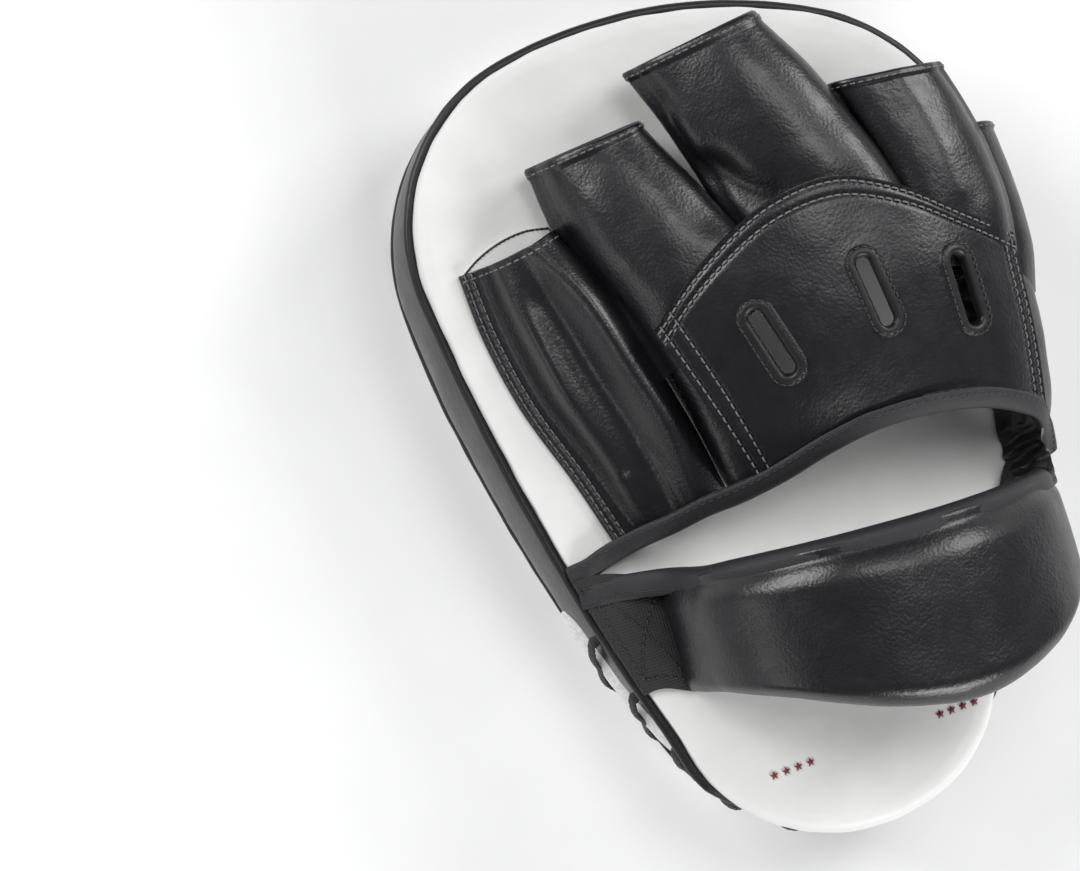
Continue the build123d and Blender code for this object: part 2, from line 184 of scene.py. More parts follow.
def leather(name, dark, light, rough, grain, strength, shine=0.5):
    """Grained leather: pebbles about grain millimetres across, soft mottling and uneven gloss."""
    material, made, links, shader, place, tone = ramped(name, 0.3, 0.75, dark, light)
    mottle = add(made, "ShaderNodeTexNoise", Scale=70.0, Detail=4.0)
    links.new(place, mottle.inputs["Vector"])
    links.new(mottle.outputs["Fac"], tone)
    pebbles = add(made, "ShaderNodeTexVoronoi", feature="SMOOTH_F1", Scale=1 / (grain * MM))
    fine = add(made, "ShaderNodeTexNoise", Scale=2.2 / (grain * MM), Detail=3.0)
    creases = add(made, "ShaderNodeTexNoise", Scale=0.16 / (grain * MM), Detail=5.0, Distortion=0.6)
    gloss = add(made, "ShaderNodeMapRange")
    gloss.inputs["To Min"].default_value = rough - 0.07
    gloss.inputs["To Max"].default_value = rough + 0.09
    shader.inputs["Specular IOR Level"].default_value = shine
    for texture in (pebbles, fine, creases):
        links.new(place, texture.inputs["Vector"])
    links.new(creases.outputs["Fac"], gloss.inputs["Value"])
    links.new(gloss.outputs["Result"], shader.inputs["Roughness"])
    bump = None
    for texture, output, amount, depth in (
        (creases, "Fac", 0.25, 0.5),
        (fine, "Fac", 0.35 * strength, 0.08),
        (pebbles, "Distance", strength, 0.12),
    ):
        following = add(made, "ShaderNodeBump", Strength=amount, Distance=depth * MM)
        links.new(texture.outputs[output], following.inputs["Height"])
        if bump:
            links.new(bump.outputs["Normal"], following.inputs["Normal"])
        bump = following
    links.new(bump.outputs["Normal"], shader.inputs["Normal"])
    return material


def woven(name, dark, light, thread, rough, strength):
    """Two crossing sets of threads, each thread millimetres wide."""
    material, made, links, shader, place, tone = ramped(name, 0.2, 0.9, dark, light)
    waves = []
    for direction in ("X", "Y"):
        wave = add(made, "ShaderNodeTexWave", Scale=0.314 / (thread * MM), Distortion=0.8, Detail=1.0)
        wave.bands_direction = direction
        links.new(place, wave.inputs["Vector"])
        waves.append(wave)
    cross = add(made, "ShaderNodeMath", operation="MAXIMUM")
    links.new(waves[0].outputs["Fac"], cross.inputs[0])
    links.new(waves[1].outputs["Fac"], cross.inputs[1])
    links.new(cross.outputs["Value"], tone)
    bump = add(made, "ShaderNodeBump", Strength=strength, Distance=0.25 * MM)
    links.new(cross.outputs["Value"], bump.inputs["Height"])
    links.new(bump.outputs["Normal"], shader.inputs["Normal"])
    shader.inputs["Roughness"].default_value = rough
    return material


def speckled(name, dark, light, size, rough, strength, sheen=0.0):
    """Matte stuff with fine lumps: foam, wadding, thread, floor."""
    material, made, links, shader, place, tone = ramped(name, 0.35, 0.7, dark, light)
    grain = add(made, "ShaderNodeTexNoise", Scale=1 / (size * MM), Detail=5.0)
    bump = add(made, "ShaderNodeBump", Strength=strength, Distance=size * 0.3 * MM)
    links.new(place, grain.inputs["Vector"])
    links.new(grain.outputs["Fac"], tone)
    links.new(grain.outputs["Fac"], bump.inputs["Height"])
    links.new(bump.outputs["Normal"], shader.inputs["Normal"])
    shader.inputs["Roughness"].default_value = rough
    shader.inputs["Sheen Weight"].default_value = sheen
    return material


BLACK = leather("black_leather", (0.0040, 0.0040, 0.0055), (0.007, 0.007, 0.0095), 0.33, 0.9, 0.6, 0.62)
PIPING = leather("black_piping", (0.005, 0.005, 0.006), (0.009, 0.009, 0.011), 0.42, 0.8, 0.2)
WHITE = leather("white_leather", (0.70, 0.695, 0.68), (0.76, 0.755, 0.745), 0.48, 1.1, 0.12)
LINING = leather("lining_cloth", (0.006, 0.006, 0.007), (0.012, 0.012, 0.013), 0.36, 0.6, 0.25)
TAPE = woven("binding_tape", (0.006, 0.006, 0.008), (0.016, 0.016, 0.019), 0.45, 0.5, 0.35)
WEBBING = woven("webbing", (0.008, 0.008, 0.009), (0.020, 0.020, 0.022), 0.9, 0.75, 0.8)
LACE = woven("lace_braid", (0.009, 0.009, 0.010), (0.028, 0.028, 0.031), 0.7, 0.6, 0.9)
WADDING = speckled("white_wadding", (0.62, 0.61, 0.59), (0.80, 0.79, 0.77), 1.6, 0.9, 0.8, 0.3)
FOAM = speckled("foam", (0.42, 0.41, 0.38), (0.52, 0.51, 0.48), 0.9, 0.95, 0.5)
# Black thread whose base colour is lightened to grey as a painted glint, on top of its own sheen from low
# roughness.
PAINTED_GLINT_THREAD = speckled("black_thread_painted_glint", (0.09, 0.09, 0.092), (0.20, 0.20, 0.205), 0.3, 0.38, 0.4)
BLACK_THREAD = speckled("black_thread", (0.010, 0.010, 0.011), (0.030, 0.030, 0.033), 0.3, 0.45, 0.4)
RED_PRINT = speckled("red_print", (0.16, 0.012, 0.012), (0.24, 0.022, 0.020), 0.3, 0.6, 0.2)
FLOOR = speckled("studio_floor", (0.83, 0.83, 0.83), (0.85, 0.85, 0.85), 30.0, 0.85, 0.02)

# ---------------------------------------------------------------- meshes


def mesh_object(name, points, faces, material):
    """Smooth-shaded object in metres from points in millimetres."""
    mesh = bpy.data.meshes.new(name)
    mesh.from_pydata((np.asarray(points).reshape(-1, 3) * MM).tolist(), [], faces)
    mesh.polygons.foreach_set("use_smooth", [True] * len(mesh.polygons))
    mesh.materials.append(material)
    made = bpy.data.objects.new(name, mesh)
    bpy.context.scene.collection.objects.link(made)
    return made


def grid_faces(rows, columns, wrap_down=False, wrap_across=False, start=0):
    r, c = np.meshgrid(
        np.arange(rows if wrap_down else rows - 1),
        np.arange(columns if wrap_across else columns - 1),
        indexing="ij",
    )
    r1, c1 = (r + 1) % rows, (c + 1) % columns
    quads = np.stack([r * columns + c, r1 * columns + c, r1 * columns + c1, r * columns + c1], -1)
    return (quads.reshape(-1, 4) + start).tolist()


def end_caps(rings, sides, start=0):
    """Faces that close a tube at its first and last ring."""
    last = start + (rings - 1) * sides
    return [[start + k for k in range(sides)], [last + k for k in reversed(range(sides))]]


def modify(made, name, kind, **settings):
    layer = made.modifiers.new(name, kind)
    for key, value in settings.items():
        setattr(layer, key, value)


def outward_normals(grid):
    """Unit normals of a closed tube, away from its middle."""
    facing = normals(grid, wrap=True)
    return facing if (facing * (grid - grid.mean(axis=1, keepdims=True))).sum() >= 0 else -facing


def sheet_object(name, grid, facing, material, thickness, wrap=False):
    """Leather or tape of one thickness under a grid; facing is a rough outward direction or grid of them."""
    outward = normals(grid, wrap)
    if (outward * facing).sum() < 0:
        grid = grid[::-1]
    made = mesh_object(name, grid, grid_faces(*grid.shape[:2], wrap_across=wrap), material)
    modify(made, "thickness", "SOLIDIFY", thickness=thickness * MM, offset=-1)
    edge = 0.3 * thickness * MM
    modify(made, "soft_edge", "BEVEL", width=edge, segments=2, limit_method="ANGLE", angle_limit=1.0)
    return made


def dress(made, body="mitt", instead_of=()):
    """Fixes a finished piece to its body and hides the nodes it stands for."""
    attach(made, body)
    if instead_of:
        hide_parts(*instead_of)
    return made


def frames(path, up):
    """Tangent, side and up vectors along a line; up is one vector or one for each point."""
    tangent = unit(np.gradient(path, axis=0))
    side = unit(np.cross(tangent, np.broadcast_to(up, path.shape)))
    return tangent, side, np.cross(side, tangent)


def tube(path, up, section, closed=False):
    """Points of a section, given in side and up coordinates, carried along a line."""
    if closed:
        padded = np.vstack([path[-1:], path, path[:1]])
        tangent = unit(np.gradient(padded, axis=0))[1:-1]
        side = unit(np.cross(tangent, np.broadcast_to(up, path.shape)))
        top = np.cross(side, tangent)
    else:
        tangent, side, top = frames(path, up)
    section = np.asarray(section, float)
    return path[:, None] + side[:, None] * section[None, :, :1] + top[:, None] * section[None, :, 1:]


def oval(half_width, half_height, sides):
    turn = np.linspace(0, 2 * np.pi, sides, endpoint=False)
    return np.stack([half_width * np.cos(turn), half_height * np.sin(turn)], 1)


def tube_object(name, path, up, section, material, closed=False):
    grid = tube(path, up, section, closed)
    faces = grid_faces(*grid.shape[:2], wrap_down=closed, wrap_across=True)
    if not closed:
        faces += end_caps(*grid.shape[:2])
    return mesh_object(name, grid, faces, material)


def stitches(name, rows, material, pitch=2.6, length=2.0, radius=0.3, sink=0.25):
    """Sewn rows: each is a line and its upward directions; every stitch arches out of its two holes."""
    sides, rings = 6, 5
    share = np.linspace(0, 1, rings)
    arch = np.sin(np.pi * share) ** 0.6
    points, faces = [], []
    for path, up in rows:
        run = lengths(path)
        up = np.broadcast_to(up, path.shape)
        count = int(run[-1] / pitch)
        for i in range(count):
            at = (i + 0.5) * run[-1] / count + (share - 0.5) * length
            middle = np.stack([np.interp(at, run, path[:, k]) for k in range(3)], 1)
            top = unit(np.stack([np.interp(at, run, up[:, k]) for k in range(3)], 1))
            middle = middle + top * (arch * (sink + 0.75 * radius) - sink)[:, None]
            section = oval(radius, radius * 0.8, sides)
            ring = tube(middle, top, section)
            start = sum(len(p) for p in points)
            faces += grid_faces(rings, sides, wrap_across=True, start=start)
            faces += end_caps(rings, sides, start)
            points.append(ring.reshape(-1, 3))
    return mesh_object(name, np.vstack(points), faces, material)


# ---------------------------------------------------------------- pad

thumb_shoulder_radius = 58.0
thumb_shoulder_drop = 60.0
little_shoulder_radius = 63.0
little_shoulder_drop = 71.5
wrist_end_radius = 53.5
bridge_radii = (148.0, 640.0, 370.0)

pad_low, pad_high = (np.array(corner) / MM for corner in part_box("side_gusset"))
pad_width, pad_length = (pad_high - pad_low)[:2]
face_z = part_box("back_face")[1].z / MM


def outline(step):
    """Rim of the pad, anticlockwise from the little finger's shoulder: points and outward directions."""
    wide, long = pad_width / 2, pad_length / 2
    corners = (
        (np.array([wide - little_shoulder_radius, long - little_shoulder_drop]), little_shoulder_radius),
        (np.array([thumb_shoulder_radius - wide, long - thumb_shoulder_drop]), thumb_shoulder_radius),
        (np.array([0, wrist_end_radius - long]), wrist_end_radius),
    )
    bridges = []
    for i, radius in enumerate(bridge_radii):
        (a, ra), (b, rb) = corners[i], corners[(i + 1) % 3]
        span = np.linalg.norm(b - a)
        along = ((radius - ra) ** 2 - (radius - rb) ** 2 + span**2) / (2 * span)
        off = np.sqrt((radius - ra) ** 2 - along**2)
        heading = (b - a) / span
        bridges.append((a + heading * along + np.array([-heading[1], heading[0]]) * off, radius))
    points, outward = [], []
    for i, (centre, radius) in enumerate(bridges):
        corner, corner_radius = corners[(i + 1) % 3]
        following = bridges[(i + 1) % 3][0]
        first = corners[i][0] - centre
        turn = corner - centre
        last = corner - following
        arcs = ((centre, radius, first, turn), (corner, corner_radius, turn, last))
        for middle, size, start, end in arcs:
            a0 = np.arctan2(start[1], start[0])
            a1 = a0 + (np.arctan2(end[1], end[0]) - a0) % (2 * np.pi)
            angle = np.linspace(a0, a1, 80, endpoint=False)
            direction = np.stack([np.cos(angle), np.sin(angle)], 1)
            points.append(middle + size * direction)
            outward.append(direction)
    both = np.hstack([np.vstack(points), np.vstack(outward)])
    both = np.vstack([both, both[:1]])
    run = lengths(both[:, :2])
    at = np.linspace(0, run[-1], int(run[-1] / step), endpoint=False)
    read = np.stack([np.interp(at, run, both[:, k]) for k in range(4)], 1)
    return read[:, :2], unit(read[:, 2:]), at


rim, rim_out, rim_run = outline(0.8)


def strike_spread(points):
    """How far the strike face's seam stands out beyond the back face's, by place along the pad."""
    keys = (-130, -100, -60, 0, 45, 75, 100, 130)
    return smooth(keys, (-2.0, -0.5, 1.5, 2.6, 2.6, 0.8, -0.4, -1.0), points[:, 1])[:, 0]


def band_belly(points):
    """How far the side band bulges at mid height, by place along the pad."""
    keys = (-130, -105, -78, -45, 0, 60, 130)
    return smooth(keys, (-1.8, -0.8, 2.4, 4.2, 3.4, 2.8, 1.2), points[:, 1])[:, 0]


def seam_lift(points):
    """How far the cuff's webbing pulls the back seam up, which flattens the rolled edge of the back face."""
    keys = (-130, -112, -88, -45, -18, 20, 130)
    lifted = smooth(keys, (0.0, 1.8, 3.4, 3.4, 1.6, 0.3, 0.0), points[:, 1])[:, 0]
    return lifted * np.clip(-points[:, 0] / 25.0, 0, 1)


def back_spread(points):
    """How far the back seam moves out where it is pulled up, just behind and round the wrist end."""
    behind = np.exp(-(((points[:, 1] + 100) / 15.0) ** 2)) * np.clip(-points[:, 0] / 12.0, 0, 1)
    return 0.35 * seam_lift(points) + 1.6 * behind + 0.9 * np.clip((-points[:, 1] - 108) / 14.0, 0, 1)


def bare_piping(points):
    """Share by which the back piping stands clear of the rolled edge: none round the wrist end."""
    clear = smooth((-130, -112, -94, -75, 130), (0, 0, 0.7, 0.8, 0.6), points[:, 1])[:, 0]
    return clear + 0.2 * np.minimum(seam_lift(points) / 3.0, 1)


def rim_at(inset, z):
    """Line along the rim at an inset and a height, each one value or one for every point."""
    inset, z = (np.broadcast_to(np.asarray(value, float), (len(rim),))[:, None] for value in (inset, z))
    return np.hstack([rim - rim_out * inset, z])


roll_rows, middle_rows = 26, 45
print_z = face_z + 0.62


def face_cushion(name, nodes_shown, profile, spread, direction, crown=0.0, lift=0.0):
    """A pad face: its rolled edge follows a profile of insets and heights, its middle is crowned."""
    seam, top = profile[0], profile[-1]
    pucker = noise_at(rim_at(0, 7.0), 5.0, 3.0) * 0.5 + noise_at(rim_at(0, 7.0), 11.0, 9.0)
    run = lengths(np.array(profile))
    profile = smooth(run, profile, np.linspace(0, run[-1], roll_rows))
    rows = []
    for k, (inset, height) in enumerate(profile):
        near = np.exp(-(((k - 7) / 6.0) ** 2))
        raised = height + lift * (top[1] - height) / (top[1] - seam[1])
        flattened = np.maximum(seam[0] + 0.2 - inset, 0) * bare_piping(rim) * (direction > 0)
        rows.append(rim_at(inset + flattened - spread + 0.35 * pucker * near, raised))
    edge = rows[-1]
    middle = np.array([0, 0, edge[:, 2].mean()])
    for share in np.linspace(1, 0, middle_rows + 1)[1:]:
        ring = middle + (edge - middle) * share
        ring[:, 2] += direction * crown * (1 - share**2)
        rows.append(ring)
    grid = np.stack(rows)
    lumps = noise_at(grid, 34.0, 5.0) * 0.28 + noise_at(grid, 9.0, 6.0) * 0.04
    grid[..., 2] += lumps * np.clip((np.arange(len(grid)) - 12) / 18.0, 0, 1)[:, None]
    grid[..., 2] = np.maximum(grid[..., 2], 0.0)
    faces = grid_faces(*grid.shape[:2], wrap_across=True)
    made = mesh_object(name, grid, faces, WHITE)
    modify(made, "weld", "WELD", merge_threshold=0.02 * MM)
    dress(made, instead_of=nodes_shown)
    return grid


back_profile = [(3.2, 43.6), (1.9, 45.0), (1.3, 47.0), (1.5, 49.2), (3.2, 51.2), (6.2, 52.0), (10.0, 52.15)]
back_grid = face_cushion(
    "back_cover", ("back_face", "back_foam"), back_profile, back_spread(rim), 1, 0.25, seam_lift(rim)
)

strike_profile = [(3.0, 8.6), (1.7, 7.2), (1.1, 5.2), (1.5, 2.6), (3.4, 0.8), (7.0, 0.15), (11.0, 0.02)]
face_cushion("strike_cover", ("strike_face",), strike_profile, strike_spread(rim), -1)


def piping_object(name, inset, z, radius, node):
    """Rolled piping round the rim, a little uneven."""
    wobble = noise_at(rim_at(0, z), 8.0, radius) * 0.18
    path = rim_at(inset + wobble, z + 0.6 * wobble)
    made = tube_object(name, path, (0, 0, 1), oval(radius, radius, 10), PIPING, closed=True)
    return dress(made, instead_of=(node,))


tuck = 2.4 * (1 - np.clip(bare_piping(rim) / 0.6, 0, 1))
back_seam_z = 45.4 - 0.5 * tuck + 0.8 * seam_lift(rim)
piping_object("back_cord_trim", 1.6 + tuck - back_spread(rim), back_seam_z, 1.6, "back_piping")
piping_object("strike_cord_trim", 2.2 - strike_spread(rim), 7.6, 1.5, "strike_piping")

# ---------------------------------------------------------------- side band, slot and lace

slot_z = 26.8
slot_half = 7.5
slot_end_y = -38.0
band_low_z, band_high_z = 8.0, 44.4
band_thickness = 1.8


def band_point(index_share, z):
    """Outer face of the side band at places along the rim, by share of the number of rim points."""
    at = np.asarray(index_share) % len(rim)
    low = np.floor(at).astype(int)
    part = (at - low)[:, None]
    nxt = (low + 1) % len(rim)
    flat = rim[low] * (1 - part) + rim[nxt] * part
    out = unit(rim_out[low] * (1 - part) + rim_out[nxt] * part)
    z = np.broadcast_to(np.asarray(z, float), (len(flat),))
    rise = np.clip((z - band_low_z) / (band_high_z - band_low_z), 0, 1)
    spread = strike_spread(flat) * (1 - rise)
    belly = band_belly(flat) * np.sin(np.pi * rise) ** 0.7
    lift = seam_lift(flat)
    stand = belly + spread + back_spread(flat) * rise**2 - 0.5 * lift * (1 - rise) - 2.2
    z = z + lift * rise**4
    place = flat + out * stand[:, None]
    return np.hstack([place, z[:, None]]), np.hstack([out, np.zeros((len(out), 1))])


def slot_range():
    """Rim places between which the slot runs, thumb side first."""
    inside = np.where(rim[:, 1] < slot_end_y)[0]
    return inside[0], inside[-1]


slot_first, slot_last = slot_range()


def slot_opening(index):
    """Half height of the slot at a rim place: round at both ends."""
    step = rim_run[1]
    depth = np.minimum(index - slot_first, slot_last - index) * step
    depth = np.clip(depth, 0, slot_half)
    return np.sqrt(np.maximum(slot_half**2 - (slot_half - depth) ** 2, 0))


def side_band():
    """Black side band: one wall away from the slot, a strip above and one below along it."""
    index = np.arange(len(rim), dtype=float)
    opening = slot_opening(index)
    rows = 15
    upper, lower = [], []
    for share in np.linspace(0, 1, rows):
        top = slot_z + opening + (band_high_z - slot_z - opening) * share
        bottom = slot_z - opening - (slot_z - opening - band_low_z) * share
        upper.append(band_point(index, top)[0])
        lower.append(band_point(index, bottom)[0])
    outward = np.hstack([rim_out, np.zeros((len(rim), 1))])
    grids = [np.stack(upper), np.stack(lower)]
    for grid in grids:
        waves = noise_at(grid, 16.0, 2.0) * 0.45 + noise_at(grid * np.array([1, 1, 0.3]), 6.0, 4.0) * 0.12
        grid += outward[None] * waves[..., None]
    return grids


band_upper, band_lower = side_band()
band_faces = grid_faces(*band_upper.shape[:2], wrap_across=True)
lower_faces = grid_faces(*band_lower.shape[:2], wrap_across=True, start=band_upper[..., 0].size)
band_faces += [face[::-1] for face in lower_faces]
band = mesh_object("side_band", np.vstack([band_upper, band_lower]), band_faces, BLACK)
modify(band, "weld", "WELD", merge_threshold=0.05 * MM)
modify(band, "thickness", "SOLIDIFY", thickness=band_thickness * MM, offset=1, use_even_offset=True)
dress(band, instead_of=("side_gusset",))


def wadding_strip():
    """White strip behind the slot, swelling out of its opening."""
    index = np.arange(slot_first - 4, slot_last + 5, dtype=float)
    rows = []
    for z in np.linspace(slot_z - 12, slot_z + 12, 33):
        place, out = band_point(index, z)
        share = np.clip(np.abs(z - slot_z) / (slot_opening(index) + 0.6), 0, 1)
        free = np.cos(share * np.pi / 2) ** 0.7 * np.clip(slot_opening(index) / 3.5, 0, 1)
        lumps = noise_at(place, 5.0, 8.0) * 0.5 + noise_at(place, 2.2, 7.0) * 0.15
        rows.append(place + out * (free * (2.3 + lumps) - 0.5)[:, None])
    grid = np.stack(rows)
    outward = band_point(index, slot_z)[1]
    made = sheet_object("slot_wadding", grid, outward[None], WADDING, 1.5)
    dress(made, instead_of=("slot_lining",))


wadding_strip()


def lace_stations():
    """Rim places where the lace leaves an upper hole, and how many places on it enters the lower one."""
    pitch, slant, end_gap = 20.5, 18.0, 12.0
    first = slot_first + end_gap / rim_run[1]
    last = slot_last - (end_gap + slant) / rim_run[1]
    count = int((last - first) * rim_run[1] / pitch)
    return np.linspace(first, last, count + 1), slant / rim_run[1]


def side_lace():
    """Flat braided lace: out of an upper hole, slanting over the slot, into the next lower hole."""
    stations, slant = lace_stations()
    hole_margin, sides = 5.0, 12
    high, low = slot_z + slot_half + hole_margin, slot_z - slot_half - hole_margin
    upper = ((0, high + 0.8, -1.5), (0, high + 0.2, 1.5), (0.14, high - 2.2, 2.5))
    lower = ((0.86, low + 2.2, 2.5), (1, low - 0.2, 1.5), (1, low - 0.8, -1.5))
    grids, faces = [], []
    for place in stations:
        points, up = [], []
        for share, z, stand in upper + ((0.5, slot_z, 1.5),) + lower:
            point, out = band_point([place + slant * share], z)
            points.append(point[0] + out[0] * stand)
            up.append(out[0])
        path = line(points, 0.6)
        share = lengths(path) / lengths(path)[-1]
        turn = smooth(np.linspace(0, 1, len(up)), up, share)
        braid = 1 + 0.10 * np.sin(lengths(path) * 2 * np.pi / 2.4)
        grid = tube(path, turn, oval(1.8, 0.8, sides))
        grid = path[:, None] + (grid - path[:, None]) * braid[:, None, None]
        start = sum(g[..., 0].size for g in grids)
        faces += grid_faces(*grid.shape[:2], wrap_across=True, start=start)
        faces += end_caps(len(path), sides, start)
        grids.append(grid)
    points = np.vstack([g.reshape(-1, 3) for g in grids])
    made = mesh_object("side_lacing", points, faces, LACE)
    dress(made, instead_of=("side_lace",))


side_lace()

# ---------------------------------------------------------------- glove leather


def panel(name, grid, node, thickness=1.8, up=(0, 0, 1)):
    """Black leather on a grid, in place of a node."""
    made = sheet_object(name, grid, np.array(up, float), BLACK, thickness)
    return dress(made, instead_of=(node,))


def crumple(grid, facing, size, height, seed):
    """Soft unevenness of worn leather."""
    lumps = noise_at(grid, size, seed) * height + noise_at(grid, size / 3, seed + 3) * height * 0.15
    return grid + facing * lumps[..., None]


def upward(grid):
    """Unit normals of a panel, on its upper side."""
    facing = normals(grid)
    return facing if facing[..., 2].sum() > 0 else -facing


knuckle_net = [
    [(-29, 33, 82), (-13, 47, 89), (10, 59.5, 94.5), (32, 62, 96)]
    + [(50, 54.5, 94), (68, 41.5, 88), (84, 31, 77)],
    [(-24, 18, 82), (-8, 29, 90), (12, 37, 95.5), (32, 38, 97)]
    + [(50, 33, 95), (67, 24, 88.5), (83, 12, 76)],
    [(-18, 1, 80.5), (-3, 8, 88), (14, 13, 94), (32, 15, 96)]
    + [(49, 12.5, 94), (66, 5, 87), (82, -6, 74.5)],
    [(-12, -17, 77), (1, -14, 83), (16, -9, 88), (33, -7.5, 91)]
    + [(49, -9, 90.5), (65, -14, 84), (80, -20.5, 73)],
]
knuckle_grid = net_surface(knuckle_net, 150, 190)
knuckle_up = upward(knuckle_grid)
knuckle_grid = crumple(knuckle_grid, knuckle_up, 26.0, 0.8, 11.0)


def inset_path(grid, side, distance):
    """Line on the grid at a distance in from one side: front, hem, left or right."""
    rows, columns = grid.shape[:2]
    share = np.linspace(0, 1, 160)
    if side in ("front", "hem"):
        edge = grid[0] if side == "front" else grid[-1]
        length = lengths(grid[:, columns // 2])[-1]
        down = np.full(160, distance / length if side == "front" else 1 - distance / length)
        path = on_grid(grid, down, share)
    else:
        length = lengths(grid[rows // 2])[-1]
        across = np.full(160, distance / length if side == "left" else 1 - distance / length)
        path = on_grid(grid, share, across)
    return even(path, 0.7)


def nearest_up(grid, facing, path):
    """The grid's outward direction nearest to each point of a line."""
    flat, up = grid.reshape(-1, 3)[::3], facing.reshape(-1, 3)[::3]
    found = [up[np.argmin(((flat - point) ** 2).sum(1))] for point in path]
    return unit(np.array(found))


seam_rows = []
panel_seams = (("front", (1.6, 5.6)), ("left", (2.0, 6.5)), ("right", (1.8, 5.2)))
for side, distance in ((side, distance) for side, both in panel_seams for distance in both):
    path = inset_path(knuckle_grid, side, distance)
    knuckle_grid = fold(knuckle_grid, knuckle_up, path, -0.45, 0.9)
    seam_rows.append(path)

vent_places = (((1.5, 20.5), 17.0), ((34.5, 26.0), 8.0), ((62.0, 19.0), 2.0))
vent_half_length, vent_half_width = 11.0, 2.4


def vent_loop(centre, heading, grow):
    """Closed oblong line in plan, round a vent that is grown on all sides."""
    turn = np.linspace(0, 2 * np.pi, 72, endpoint=False)
    half_width = vent_half_width + grow
    straight = vent_half_length + grow - half_width
    x = half_width * np.cos(turn)
    y = half_width * np.sin(turn) + np.sign(np.sin(turn)) * straight
    a = np.radians(heading)
    turned = (x * np.cos(a) - y * np.sin(a), x * np.sin(a) + y * np.cos(a))
    return np.stack([centre[0] + turned[0], centre[1] + turned[1]], 1)


knuckle = panel("knuckle_leather", knuckle_grid, "knuckle_panel")


def drop_onto(grid, facing, plan, lift=0.0):
    """Points in plan set on the grid, with the directions that the grid faces there."""
    flat, up = grid.reshape(-1, 3), facing.reshape(-1, 3)
    points, ways = [], []
    for x, y in plan:
        gap = (flat[:, 0] - x) ** 2 + (flat[:, 1] - y) ** 2
        near = np.argsort(gap)[:4]
        weight = 1 / (gap[near] + 0.01)
        way = unit((up[near] * weight[:, None]).sum(0))
        z = (flat[near, 2] * weight).sum() / weight.sum()
        points.append(np.array([x, y, z]) + way * lift)
        ways.append(way)
    return np.array(points), np.array(ways)


def prism(name, plan, low, high):
    """Closed upright cutter on a plan line, hidden from the picture."""
    count = len(plan)
    points = np.vstack([np.column_stack([plan, np.full(count, z)]) for z in (low, high)])
    faces = [[i, (i + 1) % count, count + (i + 1) % count, count + i] for i in range(count)]
    faces += [list(reversed(range(count))), [count + i for i in range(count)]]
    return mesh_object(name, points, faces, BLACK)


def cut_vents(made, grow):
    """Cuts the vents, grown on all sides, out of a piece."""
    cutters = [prism("vent_cutter", vent_loop(*place, grow), 60, 130) for place in vent_places]
    for cutter in cutters:
        modify(made, "vent", "BOOLEAN", operation="DIFFERENCE", solver="EXACT", object=cutter)
    graph = bpy.context.evaluated_depsgraph_get()
    mesh = bpy.data.meshes.new_from_object(made.evaluated_get(graph))
    made.modifiers.clear()
    made.data = mesh
    for cutter in cutters:
        bpy.data.objects.remove(cutter)


def vent_rims():
    """Raised stitched rim round each vent, and the sewing in it."""
    grids, faces, sewing = [], [], []
    profile = ((0.0, -2.2), (-0.1, 0.2), (0.5, 0.9), (1.6, 1.05), (2.7, 0.8), (3.5, 0.1), (3.6, -0.6))
    for place in vent_places:
        rows = []
        for grow, lift in profile:
            rows.append(drop_onto(knuckle_grid, knuckle_up, vent_loop(*place, grow), lift)[0])
        grid = np.stack(rows)
        start = sum(g[..., 0].size for g in grids)
        faces += grid_faces(*grid.shape[:2], wrap_across=True, start=start)
        grids.append(grid)
        plan = vent_loop(*place, 2.75)
        path, up = drop_onto(knuckle_grid, knuckle_up, np.vstack([plan, plan[:1]]), 0.75)
        sewing.append((path, up))
    made = mesh_object("vent_trims", np.vstack([g.reshape(-1, 3) for g in grids]), faces, PIPING)
    modify(made, "smooth", "SUBSURF", levels=1, render_levels=1)
    dress(made, instead_of=("vent_rims",))
    sewn = stitches("vent_stitching", sewing, BLACK_THREAD, pitch=2.2, length=1.7, radius=0.33)
    dress(sewn)


cut_vents(knuckle, 0.0)
vent_rims()
seam_rows = [(path, nearest_up(knuckle_grid, knuckle_up, path)) for path in seam_rows]
dress(stitches("knuckle_stitching", seam_rows, PAINTED_GLINT_THREAD))

# ---------------------------------------------------------------- finger sleeves


def sleeve_grid(stations, lip):
    """Flattened tunnel of leather. Each station: left corner, right corner, rise above and fall below."""
    count, around = 110, 120
    left = np.array([s[0] for s in stations], float)
    right = np.array([s[1] for s in stations], float)
    rise = np.array([s[2] for s in stations], float)
    middle = (left + right) / 2
    keys = lengths(middle)
    at = np.linspace(0, keys[-1], count)
    left, right, rise = smooth(keys, left, at), smooth(keys, right, at), smooth(keys, rise, at)
    middle = (left + right) / 2
    axis = unit(np.gradient(middle, axis=0))
    chord = (right - left) / 2
    up = unit(np.cross(axis, chord))
    up = np.where(up[:, 2:] < 0, -up, up)
    turn = np.linspace(0, 2 * np.pi, around, endpoint=False)
    x = -np.cos(turn)
    top = np.maximum(np.sin(turn), 0) ** 0.8
    low = np.maximum(-np.sin(turn), 0) ** 0.7
    flange = -lip[0] * np.exp(-(((turn + np.pi) % (2 * np.pi) - np.pi) / 0.13) ** 2)
    flange = flange + lip[1] * np.exp(-(((turn - np.pi)) / 0.13) ** 2)
    grid = middle[:, None] + chord[:, None] * x[None, :, None]
    grid = grid + unit(chord)[:, None] * flange[None, :, None]
    height = top[None, :, None] * rise[:, None, :1] - low[None, :, None] * rise[:, None, 1:2]
    return grid + up[:, None] * height


def turned_rim(grid, outward, rows):
    """Leather at a tunnel's mouth, doubled under and sewn: a little thicker for the first rows."""
    swell = np.zeros(len(grid))
    swell[1:rows] = 0.5
    return grid + outward * swell[:, None, None]


